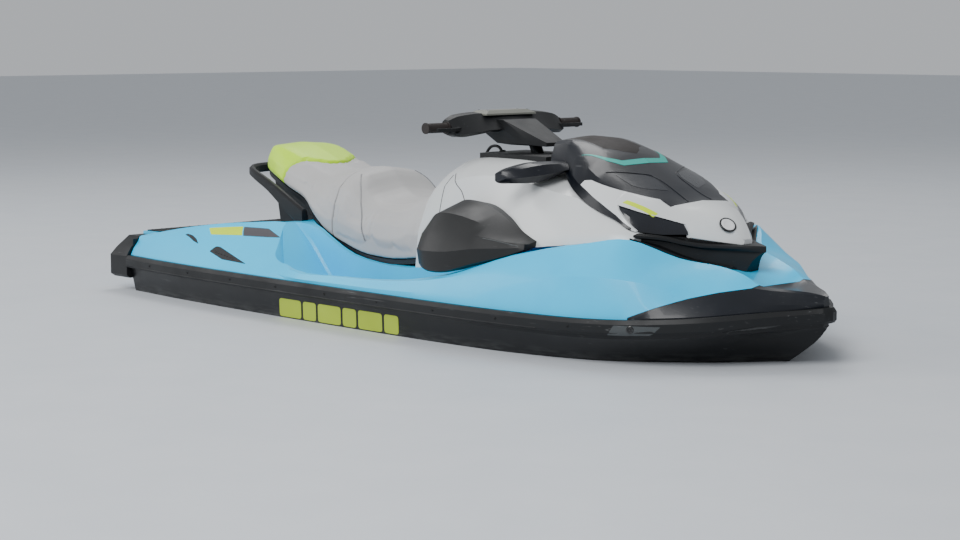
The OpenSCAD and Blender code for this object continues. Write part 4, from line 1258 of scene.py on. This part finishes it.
@dataclass
class Hood:
    """The lifting hood with its nose, cap, mirrors and gauge."""

    yard: Yard
    ring_radius: float = 0.03

    TOP_WAY: Point = (-0.42, 0.12, -0.9)

    def build(self) -> None:
        """Dresses the hood and lays its stripes, ring and a lighter patch that paints the light on
        the shroud's scoop.
        """
        yard = self.yard
        yard.dress(SHROUD_BLACK, "hood_shroud", crease=22)
        yard.dress(PANEL_GREY, "hood_nose", crease=22)
        yard.dress(CAP_BROWN, "hood_cap", crease=24)
        yard.dress(SMOKED_AND_LIT_FACET, "hood_insets", crease=24)
        yard.dress(SHROUD_BLACK, "mirror_housing_port", "mirror_housing_starboard", crease=20)
        yard.dress(MIRROR, "mirror_glasses")
        yard.dress(DISPLAY, "gauge_display")
        self.stripes()
        self.nose_ring()
        self.gauge()

    def stripes(self) -> None:
        """Lays the lime nose stripe, the teal edge, the shroud ridges and a lighter, glossier patch
        that paints the light on the facets of the shroud's scoop.
        """
        lime = (
            (0.997, -0.25, 0.513), (1.092, -0.202, 0.466), (1.086, -0.22, 0.456),
            (0.992, -0.268, 0.505),
        )
        Inlay(
            "nose_stripe", lime, (-0.42, 0.42, -0.8), LIME, "panel_grey", "hood", corner=0.003
        ).add(self.yard, "hood_nose", "hood_insets")
        teal = (
            (0.72, -0.18, 0.648), (0.812, -0.152, 0.63), (0.862, -0.115, 0.62),
            (0.876, 0.0, 0.619), (0.846, 0.0, 0.633), (0.836, -0.1, 0.633), (0.8, -0.138, 0.64),
        )
        Inlay(
            "teal_edge", teal, self.TOP_WAY, TEAL, "cap_brown", "hood", corner=0.002, step=0.008
        ).add(self.yard, "hood_shroud", "hood_cap")
        # Painted light: the shroud's scoop is not modelled; its facets are shown by this lighter,
        # glossier patch.
        lit_facet_patch = (
            (0.885, -0.19, 0.59), (0.93, -0.09, 0.587), (0.965, -0.065, 0.573),
            (1.03, -0.075, 0.537), (0.99, -0.165, 0.545), (0.96, -0.185, 0.555),
        )
        Inlay(
            "smoked_panel", lit_facet_patch, self.TOP_WAY, SMOKED_AND_LIT_FACET, "trim_black", "hood", corner=0.01
        ).add(self.yard, "hood_shroud")
        skin = self.yard.skin("hood_shroud")
        ridge = (
            (0.86, -0.205, 0.6), (0.915, -0.11, 0.596), (0.95, -0.06, 0.583),
            (1.04, -0.052, 0.538), (1.1, -0.06, 0.5),
        )
        runs = [laid(skin, ridge, self.TOP_WAY), laid(skin, port_of(ridge), (-0.42, -0.12, -0.9))]
        self.yard.tube("shroud_ridges", runs, 0.0022, SHROUD_BLACK, 8, "hood", "trim_black")

    def nose_ring(self) -> None:
        """Adds a plain ring on the nose."""
        skin = self.yard.skin("hood_nose")
        mount = mount_on(skin, (1.262, -0.045, 0.437), (-0.67, 0.24, -0.7))
        r = self.ring_radius
        rings = [
            (r, -0.004), (r, 0.0012), (r * 0.95, 0.0022), (r * 0.86, 0.0022), (r * 0.83, 0.001),
            (r * 0.4, 0.001),
        ]
        self.yard.stamped(
            "nose_ring_rim", lathe("rim_stamp", 32, rings), [mount], RING_DARK, "hood", "panel_grey"
        )
        rings = [
            (r * 0.8, -0.003), (r * 0.8, 0.0014), (r * 0.76, 0.002), (r * 0.5, 0.002),
            (r * 0.46, 0.0014), (r * 0.2, 0.0014),
        ]
        self.yard.stamped(
            "nose_ring_face", lathe("face_stamp", 32, rings), [mount], RING_WHITE, "hood",
            "panel_grey",
        )

    def gauge(self) -> None:
        """Sets a plain row of bars on the display."""
        low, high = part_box("gauge_display")
        skin = self.yard.skin("gauge_display")
        mounts = []
        for k in range(9):
            t = (k - 4) / 4
            mounts.append(
                mount_on(
                    skin,
                    ((low.x + high.x) / 2, t * (high.y - low.y) * 0.34, (low.z + high.z) / 2),
                    (0.9, 0, -0.4), (0.3, 0, 0.9), 0.0003,
                )
            )
        self.yard.stamped(
            "gauge_bars", bar_stamp(0.016, 0.0035, 0.0006), mounts, RING_WHITE, "hood", "display"
        )


@dataclass
class Handlebar:
    """The handlebar with its pad, pods, grips and levers."""

    yard: Yard
    rib_count: int = 13
    rib_radius: float = 0.0011

    def build(self) -> None:
        """Dresses the handlebar and adds ribs, buttons and bolts."""
        yard = self.yard
        yard.dress(BAR_METAL, "steering_column", "handlebar_tube")
        yard.dress(TRIM_BLACK, "handlebar_cover", crease=24)
        yard.dress(BAR_PAD, "handlebar_pad", crease=24)
        yard.dress(GRIP, "grips", crease=30)
        yard.dress(TRIM_BLACK, "throttle_lever", "brake_lever")
        self.grip_ribs()
        self.buttons()

    def grip_axis(self, side: int) -> tuple[Vector, Vector]:
        """Returns the inner and outer centre of the grip on one side."""
        points = [v.co for v in self.yard.node("grips").data.vertices if v.co.y * side > 0]
        reach = sorted(abs(p.y) for p in points)
        inner = [p for p in points if abs(p.y) < reach[0] + 0.004]
        outer = [p for p in points if abs(p.y) > reach[-1] - 0.004]
        return middle(inner), middle(outer)

    def grip_ribs(self) -> None:
        """Runs ribs round both grips."""
        runs = []
        skin = self.yard.skin("grips")
        for side in STARBOARD_AND_PORT:
            inner, outer = self.grip_axis(side)
            axis = (outer - inner).normalized()
            u = axis.cross(Vector((0, 0, 1))).normalized()
            v = axis.cross(u)
            for k in range(self.rib_count):
                centre = inner.lerp(outer, 0.2 + 0.62 * k / (self.rib_count - 1))
                ring = []
                for a in range(25):
                    way = u * math.cos(a * math.tau / 24) + v * math.sin(a * math.tau / 24)
                    hit, _, _, _ = skin.ray_cast(centre + way * 0.05, -way, 0.06)
                    ring.append(hit if hit is not None else centre + way * 0.016)
                runs.append(ring)
        self.yard.tube("grip_ribs", runs, self.rib_radius, GRIP, 6, "handlebar", "grip")

    def buttons(self) -> None:
        """Sets the switch buttons on the pods and the bolts of the pad."""
        skin = self.yard.skin("handlebar_cover")
        mounts = []
        for side in STARBOARD_AND_PORT:
            for dy in (0.0, 0.024):
                mounts.append(mount_on(skin, (0.12, side * (0.215 + dy), 0.73), (0.8, 0, -0.5)))
        rings = [(0.0085, -0.003), (0.0085, 0.0025), (0.0075, 0.0042), (0.004, 0.0036)]
        self.yard.stamped(
            "pod_buttons", lathe("button_stamp", 20, rings), mounts, INSET_GREY, "handlebar",
            "trim_black",
        )
        skin = self.yard.skin("handlebar_pad", "handlebar_cover")
        mounts = [
            mount_on(skin, (x, side * 0.1, 0.785), (0, 0, -1))
            for side in STARBOARD_AND_PORT
            for x in (0.125, 0.175)
        ]
        self.yard.stamped(
            "pad_bolts", screw_stamp(0.0045, 0.002), mounts, STEEL, "handlebar", "bar_pad"
        )


def middle(points: Sequence[Vector]) -> Vector:
    """Returns the centre of the box round some points."""
    low = Vector([min(p[i] for p in points) for i in range(3)])
    high = Vector([max(p[i] for p in points) for i in range(3)])
    return (low + high) / 2


@dataclass(frozen=True)
class Cushion:
    """A padded, covered part of the seat."""

    node: str
    finish: Finish
    slot: str
    voxel: float = 0.006
    swell: float = 0.005
    fill: float = 0.85
    draw_in: float = 0.001
    pressure: float = 4.0
    frames: int = 20

    def stuff(self, yard: Yard) -> bpy.types.Object:
        """Makes the cushion by swelling its cover like cloth over foam.

        Args:
            yard: the yard.

        Returns:
            The piece.
        """
        source = yard.node(self.node)
        piece = bpy.data.objects.new(f"{self.node}_cover", source.data.copy())
        bpy.context.scene.collection.objects.link(piece)
        recalculate(piece)
        remesh = piece.modifiers.new("Remesh", "REMESH")
        remesh.mode, remesh.voxel_size = "VOXEL", self.voxel
        relax = piece.modifiers.new("Relax", "SMOOTH")
        relax.factor, relax.iterations = 0.5, 6
        settle(piece)
        start = [v.co - v.normal * self.draw_in for v in piece.data.vertices]
        normals = [v.normal.copy() for v in piece.data.vertices]
        for vertex, spot in zip(piece.data.vertices, start):
            vertex.co = spot
        self.inflate(piece, start, normals)
        finer = piece.modifiers.new("Finer", "SUBSURF")
        finer.levels = finer.render_levels = 1
        settle(piece)
        piece.data.materials.clear()
        piece.data.materials.append(self.finish.build())
        piece.data.polygons.foreach_set("material_index", [0] * len(piece.data.polygons))
        piece.data.shade_smooth()
        yard.add(piece, "seat", self.slot)
        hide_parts(self.node)
        return piece

    def inflate(self, piece: bpy.types.Object, start: list[Vector], normals: list[Vector]) -> None:
        """Swells the cover under pressure, within the cushion's room.

        Args:
            piece: the cushion.
            start: where each point was.
            normals: its outward directions.
        """
        cloth = piece.modifiers.new("Cloth", "CLOTH")
        settings = cloth.settings
        settings.quality = 3
        settings.use_pressure = True
        settings.uniform_pressure_force = self.pressure
        settings.effector_weights.gravity = 0.0
        cloth.point_cache.frame_start, cloth.point_cache.frame_end = 1, self.frames
        scene = bpy.context.scene
        for frame in range(1, self.frames + 1):
            scene.frame_set(frame)
        moved = piece.evaluated_get(bpy.context.evaluated_depsgraph_get()).to_mesh()
        spots = [v.co.copy() for v in moved.vertices]
        piece.modifiers.clear()
        scene.frame_set(1)
        for vertex, old, new, normal in zip(piece.data.vertices, start, spots, normals):
            room = self.swell * max(
                0.0, min(1.0, normal.z * 2 + 0.9)
            ) * max(0.0, 1 - abs(normal.x) ** 4)
            rise = max(-self.draw_in, min(room, (new - old).dot(normal)))
            vertex.co = old + normal * rise


@dataclass
class Seat:
    """The stepped seat: tray, two cushions, lime trim, pylon and grab rail."""

    yard: Yard
    cushions: tuple[Cushion, ...] = (
        Cushion("seat_front_cushion", VINYL, "seat_vinyl"),
        Cushion("seat_rear_cushion", VINYL, "seat_vinyl"),
        Cushion("seat_rear_trim", VINYL_LIME, "seat_lime", voxel=0.005, swell=0.004),
    )

    def build(self) -> None:
        """Dresses the tray and makes the padded covers and their seams."""
        yard = self.yard
        yard.dress(TRAY, "seat_base", crease=26)
        yard.dress(TRIM_BLACK, "seat_pylon", "grab_rail", crease=24)
        for cushion in self.cushions:
            cushion.stuff(yard)
        self.seams()

    def seams(self) -> None:
        """Runs the seams and their stitches over the front cushion."""
        piece = bpy.data.objects["seat_front_cushion_cover"]
        mesh = piece.data
        skin = BVHTree.FromPolygons(
            [v.co for v in mesh.vertices], [tuple(p.vertices) for p in mesh.polygons]
        )
        side = (
            (-0.497, -0.139, 0.519), (-0.455, -0.18, 0.48), (-0.426, -0.205, 0.437),
            (-0.39, -0.232, 0.38), (-0.365, -0.245, 0.31), (-0.345, -0.25, 0.275),
        )
        runs = [
            laid(skin, side, (-0.2, 0.8, -0.5), 0.006),
            laid(skin, port_of(side), (-0.2, -0.8, -0.5), 0.006),
        ]
        self.yard.tube("bolster_seams", runs, 0.0011, SEAM_THREAD, 6, "seat", "seat_vinyl")
        mounts = []
        for run in runs:
            for a, b in zip(run, run[1:]):
                way = (b - a).normalized()
                outward = Vector((0.3, -1 if a.y < 0 else 1, 0.6)).normalized()
                mounts.append(
                    Mount(
                        a.lerp(b, 0.5) + outward * 0.001 + way.cross(outward) * 0.0035, outward, way
                    )
                )
        self.yard.stamped(
            "bolster_stitches", bar_stamp(0.0042, 0.0012, 0.0009), mounts, SEAM_THREAD, "seat",
            "seat_vinyl",
        )


@dataclass
class JetDrive:
    """The pump, nozzle, gate and shaft."""

    yard: Yard
    bolt_radius: float = 0.006
    bolt_count: int = 8
    axis_z: float = -0.18

    def build(self) -> None:
        """Dresses the drive and adds its bolts."""
        yard = self.yard
        yard.dress(STEEL, "drive_shaft", "impeller")
        yard.dress(PUMP, "pump_housing")
        yard.dress(NOZZLE, "steering_nozzle", "reverse_gate")
        low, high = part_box("pump_housing")
        skin = yard.skin("pump_housing")
        mounts = []
        for k in range(self.bolt_count):
            angle = math.tau * (k + 0.5) / self.bolt_count
            way = Vector((0, -math.cos(angle), -math.sin(angle)))
            centre = Vector((low.x + (high.x - low.x) * 0.3, 0, self.axis_z))
            hit, normal, _, _ = skin.ray_cast(centre - way * 0.2, way, 0.3)
            if hit is not None:
                mounts.append(Mount(hit, -way))
        yard.stamped(
            "pump_bolts", screw_stamp(self.bolt_radius, 0.004), mounts, STEEL, "craft", "pump_alloy"
        )
        skin = yard.skin("steering_nozzle")
        mounts = [mount_on(skin, (-1.505, 0, self.axis_z + s * 0.09), (0, 0, -s)) for s in (-1, 1)]
        yard.stamped(
            "nozzle_pivot_bolts", screw_stamp(self.bolt_radius, 0.004), mounts, STEEL, "nozzle",
            "steel",
        )


@dataclass
class Stern:
    """The boarding step, its bracket and the drain plugs."""

    yard: Yard

    def build(self) -> None:
        """Dresses the stern fittings and adds plugs and screws."""
        yard = self.yard
        yard.dress(BAR_METAL, "boarding_step")
        yard.dress(STEEL, "step_bracket")
        skin = yard.skin("hull")
        rings = [
            (0.019, -0.002), (0.019, 0.003), (0.017, 0.005), (0.011, 0.005), (0.0095, 0.009),
            (0.004, 0.0095),
        ]
        mounts = [mount_on(skin, (-1.62, y, -0.09), (1, 0, 0), (0, 1, 0)) for y in (-0.3, 0.42)]
        yard.stamped(
            "drain_plugs", lathe("drain_stamp", 24, rings), mounts, TRIM_BLACK, "craft",
            "hull_black",
        )
        low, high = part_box("step_bracket")
        skin = yard.skin("step_bracket", "hull")
        mounts = [
            mount_on(skin, (low.x, y, z), (1, 0, 0), (0, 1, 0))
            for y in (low.y + 0.012, high.y - 0.012)
            for z in (low.z + 0.012,)
        ]
        yard.stamped("bracket_screws", screw_stamp(0.0055, 0.003), mounts, STEEL, "craft", "steel")


@dataclass
class Studio:
    """A plain pale floor at the waterline, soft light and the camera."""

    lens: float = 73.0
    camera_at: Point = (5.33, -5.08, 1.06)
    camera_turn: Point = (83.12, 0.0, 46.23)

    def build(self) -> None:
        """Makes the floor, world, lights and camera."""
        self.floor()
        self.world()
        self.light("key", (2.5, -6.5, 6.5), 4.5, 640.0)
        self.light("fill", (-6.0, -5.0, 3.5), 5.0, 240.0)
        self.light("rim", (-3.5, 3.5, 7.5), 4.0, 260.0)
        camera = bpy.data.cameras.new("camera")
        camera.lens, camera.sensor_width = self.lens, 36.0
        camera.clip_end = 200.0
        view = bpy.data.objects.new("camera", camera)
        bpy.context.scene.collection.objects.link(view)
        view.location = self.camera_at
        view.rotation_euler = Euler([math.radians(a) for a in self.camera_turn])
        bpy.context.scene.camera = view

    def floor(self) -> None:
        """Lays the floor."""
        finish = Finish(
            "studio_floor", "c9cdd2", "c3c8ce", Surface.CAST, 0.55, 0.04, scuffs=0.0, relief=0.2
        )
        floor = new_piece(
            "floor", [(-40, -40, 0), (40, -40, 0), (40, 40, 0), (-40, 40, 0)], faces=[(0, 1, 2, 3)]
        )
        floor.data.materials.append(finish.build())

    def world(self) -> None:
        """Sets an even pale sky."""
        world = bpy.data.worlds.new("studio")
        world.use_nodes = True
        background = world.node_tree.nodes["Background"]
        background.inputs["Color"].default_value = (0.86, 0.89, 0.93, 1.0)
        background.inputs["Strength"].default_value = 0.58
        bpy.context.scene.world = world

    def light(self, name: str, at: Point, size: float, power: float) -> None:
        """Adds a soft light that faces the craft.

        Args:
            name: its name.
            at: its place.
            size: its width.
            power: in watts.
        """
        lamp = bpy.data.lights.new(name, "AREA")
        lamp.size, lamp.energy = size, power
        holder = bpy.data.objects.new(name, lamp)
        bpy.context.scene.collection.objects.link(holder)
        holder.location = at
        holder.rotation_euler = (
            Vector((0, 0, 0.3)) - Vector(at)
        ).to_track_quat("-Z", "Y").to_euler()


def main() -> None:
    """Builds the craft's looks in order."""
    logging.basicConfig(level=logging.INFO, format="%(message)s")
    yard = Yard(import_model())
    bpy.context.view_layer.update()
    for part in (
        Hull(yard), Deck(yard), Console(yard), Hood(yard), Handlebar(yard), Seat(yard),
        JetDrive(yard), Stern(yard), Studio(),
    ):
        part.build()
        log.info("%s is built", type(part).__name__)


if __name__ == "__main__":
    main()
